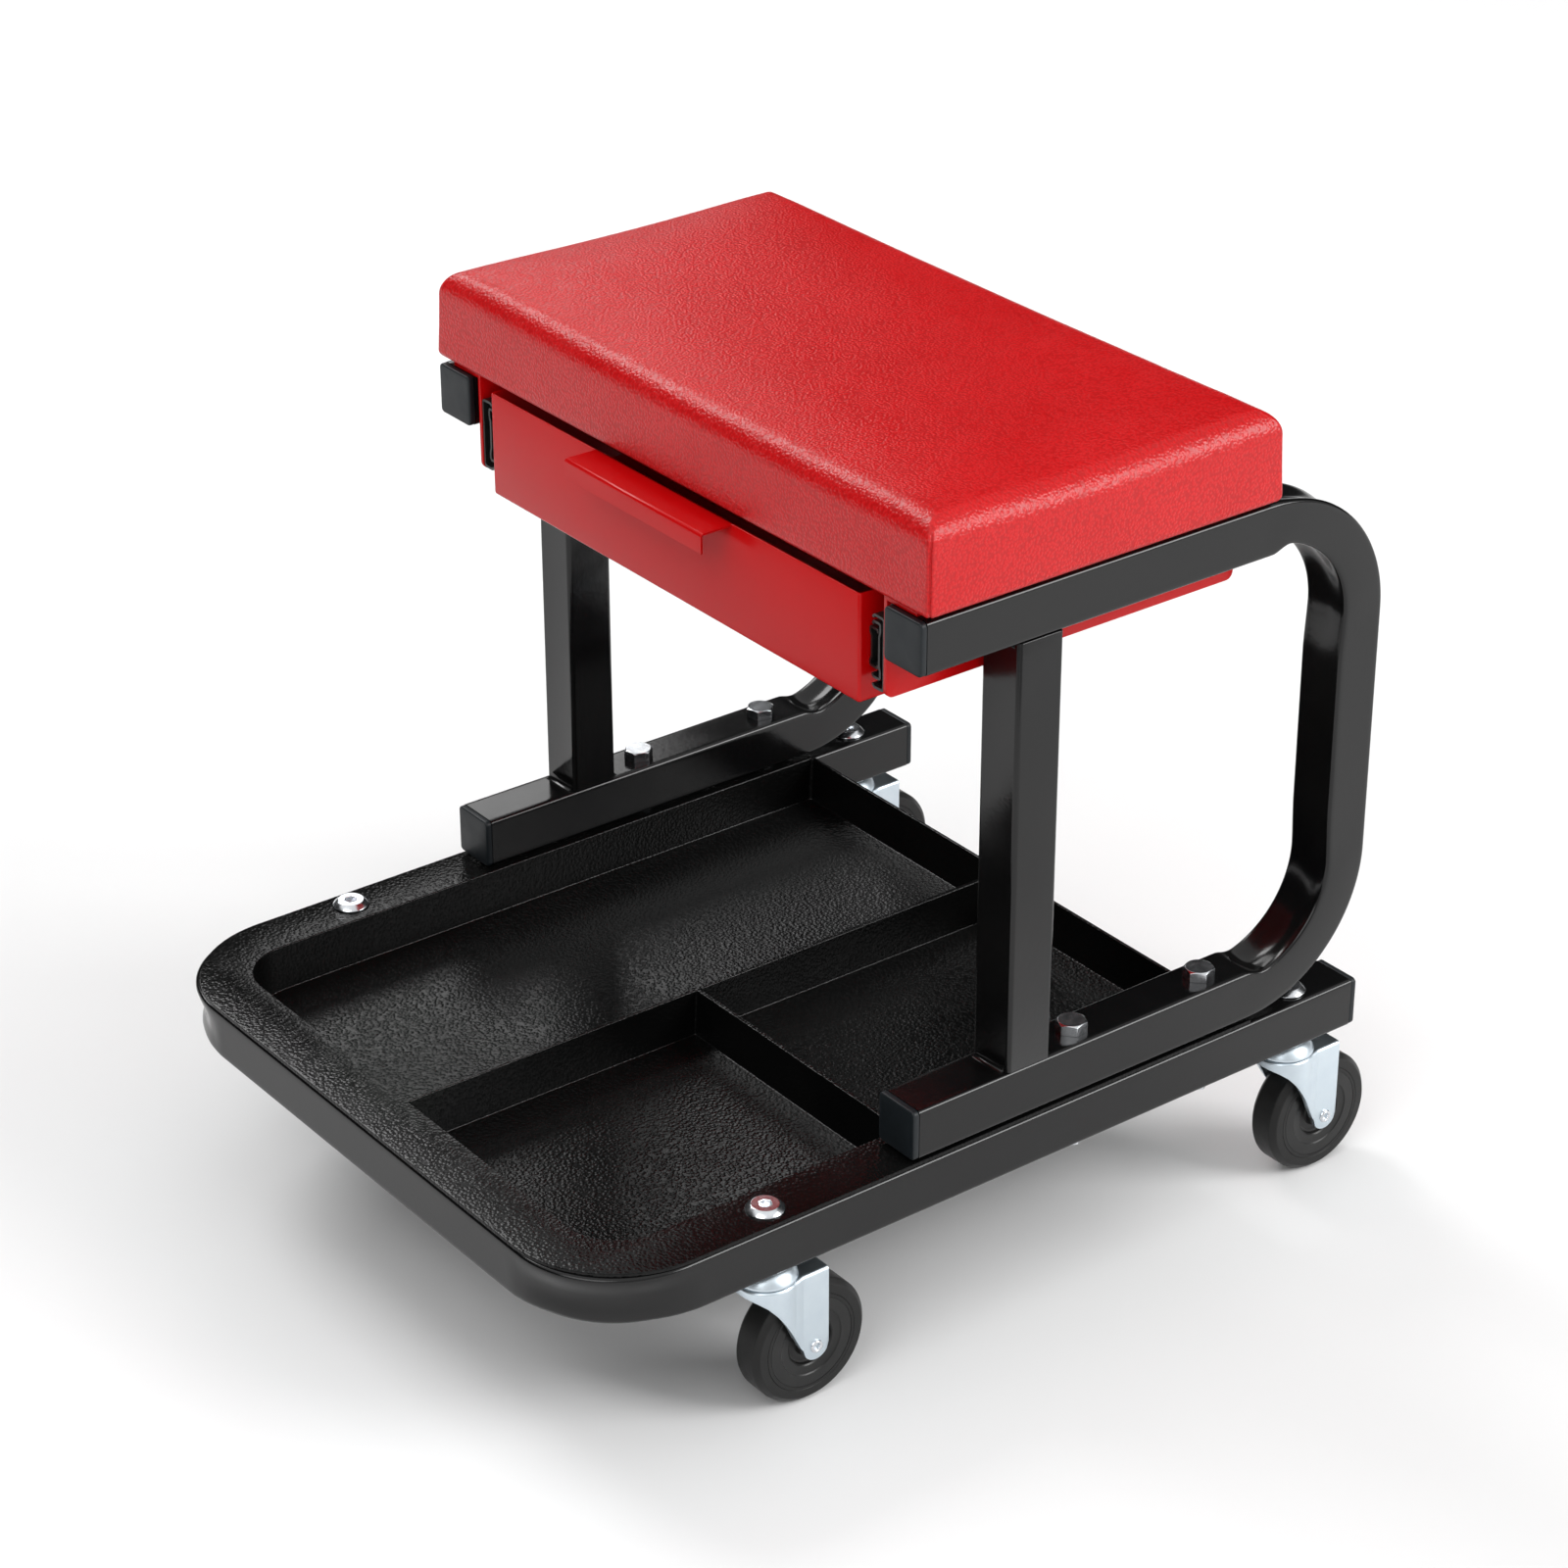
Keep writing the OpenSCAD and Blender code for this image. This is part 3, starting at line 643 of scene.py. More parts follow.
def hex_head(x, y, seat, turn):
    """A hexagon head, chamfered down to its corners."""
    top_r = HEX_HALF_FLATS * HEX_TOP
    rows = [(HEX_HALF_FLATS, 0, 1), (HEX_HALF_FLATS, HEX_HEIGHT, 1), (top_r, HEX_HEIGHT, 0)]
    verts, faces = hex_turned(x, y, turn, rows)
    lowered = []
    for px, py, z in verts:
        beyond = math.hypot(px - x, py - y) - top_r
        lowered.append((px, py, seat + (z - beyond * HEX_CHAMFER if z else 0)))
    return lowered, faces


def button_head(x, y, seat, turn):
    """A low button head with a flat ring round its hexagon socket."""
    rows = [(8.75, 0, 0), (8.9, 0.3, 0), (8.9, 0.8, 0), (8.6, 1.2, 0), (6.5, 3.0, 0), (6.3, 3.1, 0)]
    rows += [(2.9, 3.1, 1), (2.6, 2.8, 1), (2.55, 0.9, 1)]
    return hex_turned(x, y, turn, [(r, seat + z, share) for r, z, share in rows])


def shank(x, y, low, high, r):
    """A bolt's plain shank, chamfered at its lower end."""
    return hex_turned(x, y, 0, [(r - 0.6, low, 0), (r, low + 0.6, 0), (r, high, 0)])


def finish_bolts(name, parts, node):
    """Joins bolts into one piece with finely rounded edges."""
    piece = make_piece(name, *join(*parts), "bolt_chrome", "frame", node, 18)
    bevelled(piece, 0.18, 25)


def hex_bolts():
    """Two through each lower rail, each head turned a little differently."""
    low, high = box_mm("frame_bolts")
    seat = high.z - HEX_HEIGHT
    parts = []
    for side, sign in SIDES.items():
        for k, step in enumerate((-0.5, 0.5)):
            turn = (10 if side == "left" else 40) + 5 * k
            x, y = sign * ARM_X, (low.y + high.y) / 2 + step * FRAME_BOLT_SPACING
            parts += [hex_head(x, y, seat, turn), shank(x, y, low.z, seat, 4.0)]
    finish_bolts("hex_bolts", parts, "frame_bolts")


def button_screws():
    """One down each caster's swivel axis: through the tray in front, on the bare tube behind."""
    low = box_mm("caster_bolts")[0]
    parts = []
    for end, seat in (("front", tray_high.z), ("rear", base_high.z)):
        for side in SIDES:
            x, y = stem_of(f"{end}_{side}")
            turn = 20 if side == "left" else 35
            parts += [button_head(x, y, seat, turn), shank(x, y, low.z, seat, 5.0)]
    finish_bolts("button_screws", parts, "caster_bolts")


# ---- Tool tray ---------------------------------------------------------------------

SHEET = 2.0
TRAY_DEPTH = 23.5
RIM_R = 0.6
FLOOR_R = 0.7
WELL_GAP = 0.3
FLANGE_CORNER = 56
WELL_CORNER = 27
DIVIDER_HALF = 1.2
CROSS_DIVIDER_Y = -41.6


def solid(name, verts, faces):
    """A closed mesh object that isn't a piece yet."""
    mesh = new_mesh(name, verts, faces)
    tidy_mesh(mesh)
    return placed(name, mesh)


def apply_modifiers(piece):
    """Makes the modifiers' result the piece's own mesh."""
    bpy.context.view_layer.update()
    shape = piece.evaluated_get(bpy.context.evaluated_depsgraph_get())
    mesh = bpy.data.meshes.new_from_object(shape)
    piece.modifiers.clear()
    piece.data = mesh


def combine(target, others, operation):
    """Applies exact booleans to target and removes the other objects."""
    for other in others:
        cut = target.modifiers.new("cut", "BOOLEAN")
        cut.operation = operation
        cut.solver = "EXACT"
        cut.object = other
    apply_modifiers(target)
    for other in others:
        bpy.data.objects.remove(other)


def pocket(x0, y0, x1, y1, radii, draft, top, floor):
    """A compartment's space: flared at the rim, drafted down its walls, rounded into its floor.
    draft is how far each wall comes in at the floor: left, front, right and rear."""
    levels = [(-RIM_R, top + 2.0)]
    levels += arc(-RIM_R, top - RIM_R, RIM_R, 75, 0, 3)
    levels += arc(FLOOR_R, floor + FLOOR_R, FLOOR_R, 180, 270, 3)
    loops = []
    for inset, z in levels:
        down = min(max((top - z) / (top - floor), 0), 1)
        left, front, right, rear = (inset + d * down for d in draft)
        corners = [max(r - inset, 0.4) for r in radii]
        ring = outline(x0 + left, y0 + front, x1 - right, y1 - rear, corners)
        loops.append([(x, y, z) for x, y in ring])
    return loft(loops)


def tray_block(name, low, high, corner, rear_corner, levels):
    """A block with rounded upright corners, drawn in by each level's (height, inset)."""
    loops = []
    for z, inset in levels:
        radii = (corner - inset, corner - inset, rear_corner, rear_corner)
        ring = outline(low[0] + inset, low[1] + inset, high[0] - inset, high[1] - inset, radii, 16)
        loops.append([(x, y, z) for x, y in ring])
    return solid(name, *loft(loops))


def tool_tray():
    """A flange and a well as one sheet, with the three compartments cut out of it."""
    top = tray_high.z
    under = top - SHEET
    floor = top - TRAY_DEPTH
    well_x = base_high.x - TUBE - WELL_GAP - SHEET
    well_front = base_low.y + TUBE + WELL_GAP + SHEET
    well_rear = tray_high.y - SHEET
    rim = ((under, 0.3), (under + 0.3, 0), (top - 0.9, 0), (top - 0.25, 0.25), (top, 0.9))
    tray = tray_block("tray", tray_low, tray_high, FLANGE_CORNER, 2, rim)
    low = (-well_x - SHEET, well_front - SHEET)
    high = (well_x + SHEET, well_rear + SHEET)
    sides = ((floor - SHEET, 2.6), (floor - 1.2, 0.9), (floor + 1, 0.4), (top - SHEET / 2, 0))
    combine(tray, [tray_block("tray_body", low, high, WELL_CORNER, 4, sides)], "UNION")
    before, behind = CROSS_DIVIDER_Y - DIVIDER_HALF, CROSS_DIVIDER_Y + DIVIDER_HALF
    corner = WELL_CORNER - 1
    spaces = [
        (-well_x, well_front, -DIVIDER_HALF, well_rear, (corner, 1, 1, 2), (0.8, 1.0, 0.7, 1.6)),
        (DIVIDER_HALF, well_front, well_x, before, (1, corner, 1, 1), (0.7, 1.0, 0.8, 1.6)),
        (DIVIDER_HALF, behind, well_x, well_rear, (1, 1, 2, 1), (0.7, 1.6, 0.8, 1.6)),
    ]
    cutters = [solid(f"space_{k}", *pocket(*space, top, floor)) for k, space in enumerate(spaces)]
    combine(tray, cutters, "DIFFERENCE")
    mesh = tray.data
    mesh.name = "moulded_tray"
    bpy.data.objects.remove(tray)
    dress(mesh, "tray_plastic", "frame", "tool_tray", 40)


# ---- Drawer ------------------------------------------------------------------------

DRAWER_SHEET = 1.2
DRAWER_FOLD = 1.6
PULL_DEPTH = 17.4
PULL_DROP = 9.5
PULL_FOLD = 1.8
# The pull's ends: its middle is a little to the left of the drawer's
PULL_X = (-54.5, 49.5)


def drawer_box():
    """The drawer's folded box, with rounded folds at its corners and floor."""
    low, high = box_mm("drawer_body")
    front = low.y - DRAWER_SHEET
    fold = DRAWER_FOLD
    bottom = arc(fold, low.z + fold, fold, 270, 180, 3)
    loops = [(inset, z, fold - inset * 0.6) for inset, z in bottom]
    loops += [(0, high.z - 0.4, fold), (0.15, high.z - 0.1, fold), (0.4, high.z, fold)]
    inner = DRAWER_SHEET
    loops += [(inner - 0.4, high.z, 0.8), (inner - 0.15, high.z - 0.1, 0.6), (inner, high.z - 0.4, 0.5)]
    loops += [(inner, low.z + inner + 0.15, 0.5), (inner + 0.15, low.z + inner, 0.4)]
    rings = []
    for inset, z, r in loops:
        radii = (max(r, 0.3),) * 4
        ring = outline(low.x + inset, front + inset, high.x - inset, high.y - inset, radii, 6)
        rings.append([(x, y, z) for x, y in ring])
    make_piece("drawer_box", *loft(rings), "paint_red", "drawer", "drawer_body", 50)


def folded_sheet(path, thickness):
    """The closed outline of a sheet that follows path, thickness to its left."""
    left = []
    for k, (x, y) in enumerate(path):
        x0, y0 = path[max(k - 1, 0)]
        x1, y1 = path[min(k + 1, len(path) - 1)]
        length = math.hypot(x1 - x0, y1 - y0)
        left.append((x - (y1 - y0) / length * thickness, y + (x1 - x0) / length * thickness))
    return list(path) + left[::-1]


def drawer_pull():
    """The finger pull, folded forward out of the drawer's top edge and down again."""
    low, high = box_mm("drawer_front")
    top = high.z
    x0, x1 = PULL_X
    path = [(low.y, top - PULL_DROP), (low.y, top - PULL_FOLD - 0.01)]
    path += arc(low.y + PULL_FOLD, top - PULL_FOLD, PULL_FOLD, 180, 90, 6)[1:]
    path += [(low.y + PULL_DEPTH, top)]
    loops = []
    for x, inset in ((x0, 0.25), (x0 + 0.25, 0), (x1 - 0.25, 0), (x1, 0.25)):
        lowered = [(y, z - inset) for y, z in path[::-1]]
        section = folded_sheet(lowered, DRAWER_SHEET - 2 * inset)
        loops.append([(x, y, z) for y, z in section])
    make_piece("drawer_pull", *loft(loops), "paint_red", "drawer", "drawer_front", 40)


# ---- Drawer slides -----------------------------------------------------------------

SLIDE_SHEET = 1.2


def slide_member(name, path, thickness, node, body, sign):
    """A rolled steel channel: path is its section as (u, height), u out from the drawer side.
    A negative thickness lies to the path's right."""
    low, high = box_mm(node)
    side_x = box_mm("drawer_body")[1].x
    mid_z = (low.z + high.z) / 2
    section = folded_sheet(path, thickness)
    loops = []
    for y in (low.y, high.y):
        loops.append([(sign * (side_x + u), y, mid_z + h) for u, h in section])
    make_piece(name, *loft(loops), "slide_black", body, node, 30)


def mirrored_path(half):
    """A path over the slide's middle line from its upper half, given from the lip to the web."""
    return half + [(u, -h) for u, h in half[::-1]]


def drawer_slides():
    """Three channels a side, each inside the lips of the one before it."""
    outer = [(4.3, 15.5), (4.4, 16.5)] + arc(6.3, 15.6, 1.9, 150, 90, 4) + [(8.6, 17.5)]
    outer += arc(10.4, 15.2, 2.3, 70, 0, 5) + [(12.7, 12.5), (12.7, 4.0)]
    middle = [(2.8, 11.6), (2.9, 12.6)] + arc(4.4, 12.1, 1.5, 150, 90, 4) + [(6.4, 13.6)]
    middle += arc(7.4, 12.0, 1.6, 80, 0, 4) + [(9.1, 9.5), (8.3, 6.5), (8.3, 2.0)]
    inner = [(6.2, 7.6), (6.1, 8.7)] + arc(4.9, 8.5, 1.1, 30, 90, 4) + [(2.4, 9.6)]
    inner += arc(1.3, 8.3, 1.3, 90, 180, 5) + [(0.0, 6.4), (0.9, 4.6), (0.9, 1.5)]
    for side, sign in SIDES.items():
        members = (
            ("outer", outer, -SLIDE_SHEET, "frame"),
            ("middle", middle, -SLIDE_SHEET, "slide_middles"),
            ("inner", inner, SLIDE_SHEET, "drawer"),
        )
        for part, half, thickness, body in members:
            name, node = f"{side}_rolled_{part}", f"{side}_slide_{part}"
            slide_member(name, mirrored_path(half), thickness, node, body, sign)


# ---- Casters -----------------------------------------------------------------------

FORK_R = 15.0
FORK_HALF = 12.0
LEG_FRONT = 12.0
LEG_BACK = 26.0
FORK_SHEET = 2.0
FORK_ROLL = 1.8
AXLE_Z = 31.0
# Lower edge of the fork against distance behind the swivel axis: the web's concave sweep
WEB_BACK = (-15.0, -11.5, -8.0, -4.0, 0.0, 4.0, 8.0, 12.0)
WEB_Z = (66.6, 64.8, 62.2, 57.6, 51.6, 45.0, 37.6, 30.0)


def web_height(back):
    """Height of the fork's lower edge at a distance behind the swivel axis."""
    if back >= LEG_FRONT:
        tip = (LEG_BACK - LEG_FRONT) / 2
        off = min(abs(back - LEG_FRONT - tip), tip)
        return AXLE_Z - math.sqrt(tip * tip - off * off)
    return float(np.interp(back, WEB_BACK, WEB_Z))


def fork_outline():
    """Half of the fork's outline from above, from the back of a cheek round to the front."""
    points = [(FORK_HALF, back) for back in np.linspace(LEG_BACK, LEG_FRONT, 15)]
    # A crease runs down the front of each cheek, where the web turns outwards
    points += [(FORK_HALF + 0.5, 10.3), (FORK_HALF + 1.0, 8.6)]
    start = math.degrees(math.atan2(6.9, 13.3))
    points += arc(0, 0, FORK_R, start, -90, 26)
    return [(float(x), float(y)) for x, y in points]


def fork_columns(top):
    """Points down the sheet at each step of the outline, from the flat head to the lower edge."""
    half = fork_outline()
    path = half + [(-x, y) for x, y in half[-2::-1]]
    rolled = top - FORK_ROLL
    edge = arc(FORK_ROLL, rolled, FORK_ROLL, 90, 180, 9)
    columns = []
    for k, (x, y) in enumerate(path):
        x0, y0 = path[max(k - 1, 0)]
        x1, y1 = path[min(k + 1, len(path) - 1)]
        length = math.hypot(x1 - x0, y1 - y0)
        nx, ny = -(y1 - y0) / length, (x1 - x0) / length
        if nx * x + ny * y < 0 and k not in (0, len(path) - 1):
            nx, ny = -nx, -ny
        if y > LEG_FRONT - 1:
            nx, ny = math.copysign(1, x), 0.0
        column = [(x - nx * inward, y - ny * inward, z) for inward, z in edge]
        foot = min(web_height(y), rolled - 0.6)
        for share in (0.25, 0.5, 0.75, 1.0):
            column.append((x, y, rolled + (foot - rolled) * share))
        columns.append(column)
    return columns


def fork_mesh(key):
    """The fork's outer face as one open sheet, with the hole for the swivel."""
    top = box_mm(f"{key}_fork")[1].z
    bm = bmesh.new()
    grid = [[bm.verts.new(Vector(p) * MM) for p in row] for row in zip(*fork_columns(top))]
    for upper, lower in zip(grid, grid[1:]):
        for k in range(len(upper) - 1):
            bm.faces.new((upper[k], upper[k + 1], lower[k + 1], lower[k]))
    rim = list(zip(grid[0], grid[0][1:] + grid[0][:1]))
    hole = [bm.verts.new(Vector((x, y, top)) * MM) for x, y in arc(0, 0, 5.3, 0, 360, 32)[:-1]]
    edges = [bm.edges.get(pair) or bm.edges.new(pair) for pair in rim]
    edges += [bm.edges.new(pair) for pair in zip(hole, hole[1:] + hole[:1])]
    bmesh.ops.triangle_fill(bm, edges=edges, use_beauty=True, use_dissolve=False)
    bmesh.ops.recalc_face_normals(bm, faces=bm.faces)
    mesh = bpy.data.meshes.new(f"{key}_pressed_fork")
    bm.to_mesh(mesh)
    bm.free()
    mesh.transform(Matrix.Translation(Vector((*stem_of(key), 0)) * MM))
    if sum(p.normal.z for p in mesh.polygons if abs(p.normal.z) > 0.9) < 0:
        mesh.flip_normals()
    shade(mesh, 14.0)
    return mesh


def caster_fork(key):
    """Pressed fork: a flat head, a rolled edge, two cheeks and the web that sweeps to the front."""
    mesh = fork_mesh(key)
    piece = placed(mesh.name, mesh)
    thick = piece.modifiers.new("sheet", "SOLIDIFY")
    thick.thickness = FORK_SHEET * MM
    thick.offset = -1.0
    thick.use_even_offset = True
    bevelled(piece, 0.3, 50, harden=False)
    stand_in(piece, "zinc_steel", f"{key}_swivel", f"{key}_fork")


def caster_cup(key):
    """Domed upper race pressed against the tube, with a rolled rim over the fork's head."""
    top = base_low.z
    head = box_mm(f"{key}_fork")[1].z
    dome = ((7.4, 0.0), (8.4, 0.2), (10.2, 0.9), (12.0, 2.1), (13.3, 3.6), (14.0, 5.0))
    rim = ((14.4, 1.6), (14.6, 1.0), (14.4, 0.55), (13.8, 0.45), (13.2, 0.9))
    inside = ((12.7, 5.0), (11.7, 3.6), (10.0, 2.6), (7.9, 2.0), (5.6, 1.8), (5.6, 0.0))
    profile = [(r, top - drop) for r, drop in dome]
    profile += [(r, head + rise) for r, rise in rim]
    profile += [(r, top - drop) for r, drop in inside]
    return spin(profile, (*stem_of(key), 0), "z", 72)


def caster_cups():
    """The four cups as one piece."""
    parts = [caster_cup(key) for key in CASTERS]
    make_piece("pressed_cups", *join(*parts), "zinc_steel", "frame", "caster_cups", 45)


def stem_of(key):
    """Where a caster's swivel axis stands, from its fork's box."""
    low, high = box_mm(f"{key}_fork")
    return (low.x + high.x) / 2, low.y + FORK_R


def wheel_ring(name, half, centre, steps, slot, body, node, sharp):
    """A ring about a wheel's axis, from one face's (radius, distance from the middle) points."""
    profile = half + [(r, -t) for r, t in half[::-1]]
    mesh = spin(profile, centre, "x", steps)
    make_piece(name, *mesh, slot, body, node, sharp)


def caster_wheel(key):
    """A hard tyre with a chamfered tread, on a hub with a raised boss and a dished face."""
    low, high = box_mm(f"{key}_tyre")
    centre = (low + high) / 2
    body = f"{key}_wheel"
    tyre = [(22.6, 8.45), (24.0, 8.5), (24.15, 8.3), (24.35, 8.5), (28.2, 8.4), (28.7, 8.2)]
    tyre += [(29.0, 7.9), (30.5, 6.3), (30.8, 5.9), (31.0, 5.3)]
    name, node = f"{key}_moulded_tyre", f"{key}_tyre"
    wheel_ring(name, tyre, centre, 128, "tyre_rubber", body, node, 14)
    hub = [(3.1, 9.4), (6.4, 9.4), (6.9, 9.1), (7.1, 6.4), (7.6, 5.7), (10.4, 5.5), (11.3, 5.9)]
    hub += [(11.9, 7.2), (12.5, 7.75), (15.9, 7.85), (16.5, 8.0), (17.0, 8.45), (22.2, 8.5)]
    hub += [(22.35, 8.3), (22.6, 8.3)]
    name, node = f"{key}_moulded_hub", f"{key}_hub"
    wheel_ring(name, hub, centre, 96, "hub_plastic", body, node, 14)


def caster_rivet(key):
    """Tubular rivet, rolled over outside both cheeks."""
    low, high = box_mm(f"{key}_tyre")
    rolled = ((1.5, -0.6), (1.5, 0.5), (1.75, 1.0), (2.3, 1.25), (2.9, 1.05))
    rolled += ((3.25, 0.5), (3.3, 0.02), (3.0, -0.1))
    half = [(r, FORK_HALF + out) for r, out in rolled]
    name, node = f"{key}_rolled_rivet", f"{key}_axle"
    wheel_ring(name, half, (low + high) / 2, 48, "bolt_chrome", f"{key}_swivel", node, 60)


# ---- Cushion -----------------------------------------------------------------------

# How far the cover stands out past the CAD solid: at the sides, front and rear
PAD_SIDE, PAD_FRONT, PAD_REAR = 1.0, 3.0, 0.8
PAD_R = 2.6
PAD_TOP_R = 11.0
PAD_TUCK_R = 3.6
SEAM_DEPTH, SEAM_WIDTH = 0.9, 0.55
# Points round each corner, and along each long and each short side
CORNER_POINTS = 18
SIDE_POINTS = (92, 50)
CLOTH_FRAMES = 20


def pad_ring(x0, y0, x1, y1, r):
    """A rounded rectangle with points spaced along its sides too, the same number on each."""
    centres = ((x0 + r, y0 + r, 180), (x1 - r, y0 + r, 270), (x1 - r, y1 - r, 0), (x0 + r, y1 - r, 90))
    ring = []
    for k, (cx, cy, start) in enumerate(centres):
        corner = arc(cx, cy, r, start, start + 90, CORNER_POINTS)
        ring += corner
        nx, ny, begin = centres[(k + 1) % 4]
        after = arc(nx, ny, r, begin, begin + 90, 1)[0]
        count = SIDE_POINTS[k % 2]
        for j in range(1, count):
            t = j / count
            ring.append(tuple(a + (b - a) * t for a, b in zip(corner[-1], after)))
    return ring


def pad_block(name, spacing):
    """The padding: rounded along its top edge and tucked in under its bottom edge.
    It starts low, as it swells; spacing is between the rings over its top and bottom."""
    x0, y0 = cushion_low.x - PAD_SIDE, cushion_low.y - PAD_FRONT
    x1, y1 = cushion_high.x + PAD_SIDE, cushion_high.y + PAD_REAR
    bottom, top = box_mm("seat_board")[0].z + 0.15, cushion_high.z - 1.0
    middle = (y1 - y0) / 2
    levels = [(float(inset), bottom) for inset in np.arange(middle, PAD_TUCK_R + 1, -spacing)]
    levels += arc(PAD_TUCK_R, bottom + PAD_TUCK_R, PAD_TUCK_R, 270, 180, 8)
    side = top - PAD_TOP_R - bottom - PAD_TUCK_R
    levels += [(0.0, bottom + PAD_TUCK_R + side * k / 7) for k in range(1, 7)]
    levels += arc(PAD_TOP_R, top - PAD_TOP_R, PAD_TOP_R, 180, 90, 12)
    levels += [(float(inset), top) for inset in np.arange(middle, PAD_TOP_R + 1, -spacing)[::-1]]
    loops = []
    for inset, z in levels:
        r = min(max(PAD_R - 0.1 * inset, 1.6), middle - inset)
        ring = pad_ring(x0 + inset, y0 + inset, x1 - inset, y1 - inset, r)
        loops.append([(x, y, z) for x, y in ring])
    return solid(name, *loft(loops, ends=False))


def remeshed(block, voxel):
    """An even mesh of voxel-sized faces over the same shape."""
    remesh = block.modifiers.new("remesh", "REMESH")
    remesh.mode = "VOXEL"
    remesh.voxel_size = voxel
    apply_modifiers(block)
    return block


def points_of(mesh):
    """A mesh's points as rows of an array."""
    co = np.empty(len(mesh.vertices) * 3)
    mesh.vertices.foreach_get("co", co)
    return co.reshape(-1, 3)


def inflate(piece, held, pressure, cap):
    """Swells a closed mesh by cloth simulation and says how far each of its points moved,
    no point by more than cap metres. The held points stay where they are."""
    rest = points_of(piece.data)
    group = piece.vertex_groups.new(name="pinned")
    for index in np.flatnonzero(held):
        group.add([int(index)], 1.0, "REPLACE")
    cloth = piece.modifiers.new("cloth", "CLOTH")
    settings = cloth.settings
    settings.quality = 6
    settings.mass = 0.25
    settings.tension_stiffness = 30
    settings.compression_stiffness = 30
    settings.shear_stiffness = 15
    settings.bending_stiffness = 4
    settings.use_pressure = True
    settings.uniform_pressure_force = pressure
    settings.vertex_group_mass = group.name
    settings.effector_weights.gravity = 0.0
    cloth.collision_settings.use_collision = False
    scene = bpy.context.scene
    for step in range(1, CLOTH_FRAMES + 1):
        scene.frame_set(step)
    shape = piece.evaluated_get(bpy.context.evaluated_depsgraph_get())
    moved = points_of(shape.to_mesh()) - rest
    shape.to_mesh_clear()
    piece.modifiers.remove(cloth)
    scene.frame_set(1)
    length = np.linalg.norm(moved, axis=1, keepdims=True)
    return moved * np.minimum(1.0, cap / np.maximum(length, 1e-9))


def spread_out(mesh, moved, held, rounds):
    """Evens a displacement over neighbouring points, as firm foam under a cover does."""
    ends = np.empty(len(mesh.edges) * 2, dtype=np.int64)
    mesh.edges.foreach_get("vertices", ends)
    a, b = ends.reshape(-1, 2).T
    count = np.bincount(np.concatenate((a, b)), minlength=len(moved))[:, None]
    for _ in range(rounds):
        total = np.zeros_like(moved)
        np.add.at(total, a, moved[b])
        np.add.at(total, b, moved[a])
        moved = 0.4 * moved + 0.6 * total / np.maximum(count, 1)
        moved[held] = 0.0
    return moved


def carried(rest, moved, points, near=10):
    """The movement of a simulated mesh's points, carried over to other points close by."""
    tree = KDTree(len(rest))
    for index, co in enumerate(rest):
        tree.insert(co, index)
    tree.balance()
    result = np.zeros_like(points)
    for k, co in enumerate(points):
        found = tree.find_n(co, near)
        weights = np.array([1.0 / (distance + 1.5 * MM) ** 2 for _, _, distance in found])
        result[k] = weights @ moved[[index for _, index, _ in found]] / weights.sum()
    return result


def pinch_corners(points, low, high):
    """Draws the cover in along the upright seam at each corner, fading out under the top."""
    centre_y = (low.y + high.y) / 2
    half_x, half_y = (high.x - low.x) / 2, (high.y - low.y) / 2
    x_gap = half_x - np.abs(points[:, 0])
    y_gap = half_y - np.abs(points[:, 1] - centre_y)
    across, depth = (x_gap - y_gap) / math.sqrt(2), (x_gap + y_gap) / math.sqrt(2)
    near = np.exp(-((across / (SEAM_WIDTH * MM)) ** 2))
    near *= np.clip(1 - (depth - 6 * MM) / (6 * MM), 0, 1)
    upright = np.clip((high.z - 4 * MM - points[:, 2]) / (8 * MM), 0, 1)
    x_in, y_in = -np.sign(points[:, 0]), -np.sign(points[:, 1] - centre_y)
    inward = np.stack([x_in, y_in, np.zeros(len(points))], axis=1) / math.sqrt(2)
    return points + inward * (near * upright * SEAM_DEPTH * MM)[:, None]


def seat_cushion():
    """Foam pad under a vinyl cover, pinched into an upright seam at each corner."""
    cushion = pad_block("leather_cushion", 3.0)
    points = points_of(cushion.data)
    trial = remeshed(pad_block("trial", 6.0), 4.5 * MM)
    rest = points_of(trial.data)
    held = rest[:, 2] < (cushion_low.z + 2.5) * MM
    moved = inflate(trial, held, 4.0, 2.2 * MM)
    moved = spread_out(trial.data, moved, held, 40)
    bpy.data.objects.remove(trial)
    points += carried(rest, moved, points)
    low, high = Vector(points.min(axis=0)), Vector(points.max(axis=0))
    points = pinch_corners(points, low, high)
    cushion.data.vertices.foreach_set("co", points.ravel())
    cushion.data.update()
    shade(cushion.data, 180.0)
    stand_in(cushion, "leather_red", "frame", "seat_cushion")


# ---- Studio ------------------------------------------------------------------------

FLOOR_HALF = 15.0


def studio_floor():
    """A wide pale floor."""
    corners = [(-FLOOR_HALF, -FLOOR_HALF, 0), (FLOOR_HALF, -FLOOR_HALF, 0)]
    corners += [(FLOOR_HALF, FLOOR_HALF, 0), (-FLOOR_HALF, FLOOR_HALF, 0)]
    mesh = bpy.data.meshes.new("floor")
    mesh.from_pydata(corners, [], [(0, 1, 2, 3)])
    mesh.materials.append(floor_paint())
    floor = placed("floor", mesh)


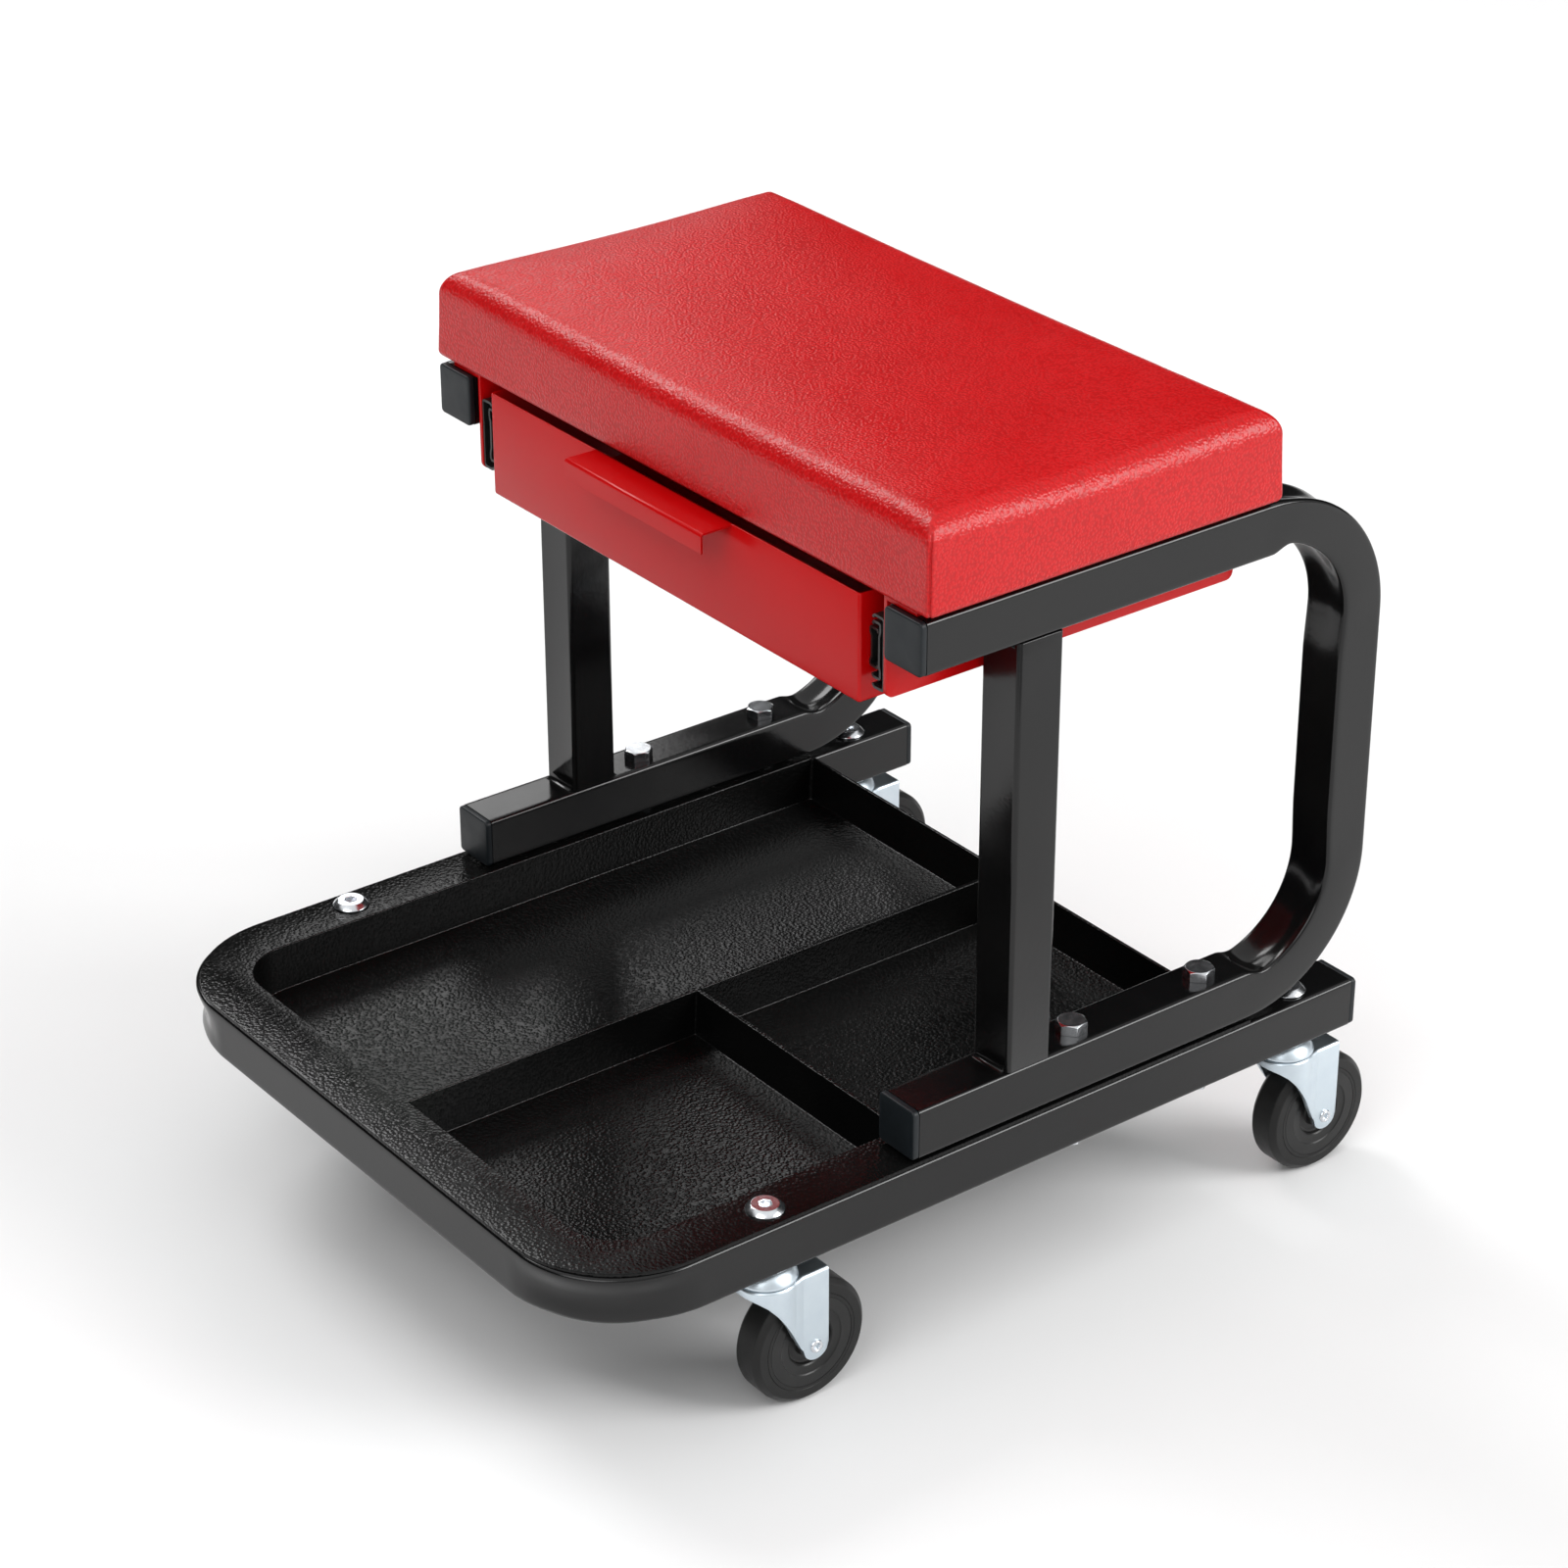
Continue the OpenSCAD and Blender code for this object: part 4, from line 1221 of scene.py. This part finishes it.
def studio_world():
    """Surroundings that are bright overhead and to the right, and dark along the left horizon."""
    world = bpy.data.worlds.new("studio")
    bpy.context.scene.world = world
    world.use_nodes = True
    nodes, links = world.node_tree.nodes, world.node_tree.links
    sky = nodes["Background"]
    sky.inputs["Color"].default_value = (1.0, 1.0, 1.0, 1.0)
    direction = nodes.new("ShaderNodeTexCoord")
    split = nodes.new("ShaderNodeSeparateXYZ")
    links.new(direction.outputs["Generated"], split.inputs["Vector"])
    glow = []
    for axis, low, high, most in (("Z", 0.6, 0.8, 0.95), ("X", 0.05, 0.6, 0.62)):
        ramp = nodes.new("ShaderNodeMapRange")
        ramp.interpolation_type = "SMOOTHSTEP"
        links.new(split.outputs[axis], ramp.inputs["Value"])
        for key, number in (("From Min", low), ("From Max", high), ("To Min", 0.02), ("To Max", most)):
            ramp.inputs[key].default_value = number
        glow.append(ramp.outputs["Result"])
    brighter = nodes.new("ShaderNodeMath")
    brighter.operation = "MAXIMUM"
    for socket, value in zip(brighter.inputs, glow):
        links.new(value, socket)
    links.new(brighter.outputs["Value"], sky.inputs["Strength"])


def soft_box(name, towards, size, power, away=5.0):
    """A square lamp that stands away in a direction and faces the object."""
    place = Vector(towards).normalized() * away
    light = bpy.data.lights.new(name, "AREA")
    light.shape = "SQUARE"
    light.size = size
    light.energy = power
    lamp = placed(name, light)
    lamp.location = place
    lamp.rotation_euler = place.to_track_quat("Z", "Y").to_euler()


def studio():
    """Floor, surroundings and four soft lamps."""
    bpy.context.scene.view_settings.view_transform = "Standard"
    studio_floor()
    studio_world()
    soft_box("key_light", (0.70, 0.535, 0.50), 2.3, 165)
    soft_box("edge_light", (-0.70, -0.08, 0.70), 2.0, 95)
    soft_box("fill_light", (0.3, -0.7, 0.65), 3.3, 85)
    soft_box("side_light", (-1.55, 0.76, 1.03), 0.45, 1.65, away=2.0)


CAMERA_AZIMUTH, CAMERA_ELEVATION, CAMERA_ROLL = (math.radians(a) for a in (52.723, 27.885, -0.124))
CAMERA_PLACE = (1.36075, -1.02528, 1.10294)
CAMERA_LENS = 94.29


def camera():
    """Stands where the object's straight edges and known sizes put it."""
    azimuth, elevation, roll = CAMERA_AZIMUTH, CAMERA_ELEVATION, CAMERA_ROLL
    level = math.cos(elevation)
    back = Vector((math.sin(azimuth) * level, -math.cos(azimuth) * level, math.sin(elevation)))
    right = Vector((math.cos(azimuth), math.sin(azimuth), 0))
    up = back.cross(right)
    x = right * math.cos(roll) + up * math.sin(roll)
    y = up * math.cos(roll) - right * math.sin(roll)
    data = bpy.data.cameras.new("camera")
    data.sensor_width = 36.0
    data.lens = CAMERA_LENS
    data.dof.use_dof = False
    view = placed("camera", data)
    turned = Matrix((x, y, back)).transposed().to_4x4()
    view.matrix_world = Matrix.Translation(CAMERA_PLACE) @ turned
    bpy.context.scene.camera = view


studio()
camera()
finish_cad_nodes()
base_tube()
for side, sign in SIDES.items():
    side_tube(side, sign)
end_caps()
hex_bolts()
button_screws()
tool_tray()
drawer_box()
drawer_pull()
drawer_slides()
caster_cups()
for key in CASTERS:
    caster_fork(key)
for key in CASTERS:
    caster_wheel(key)
    caster_rivet(key)
seat_cushion()
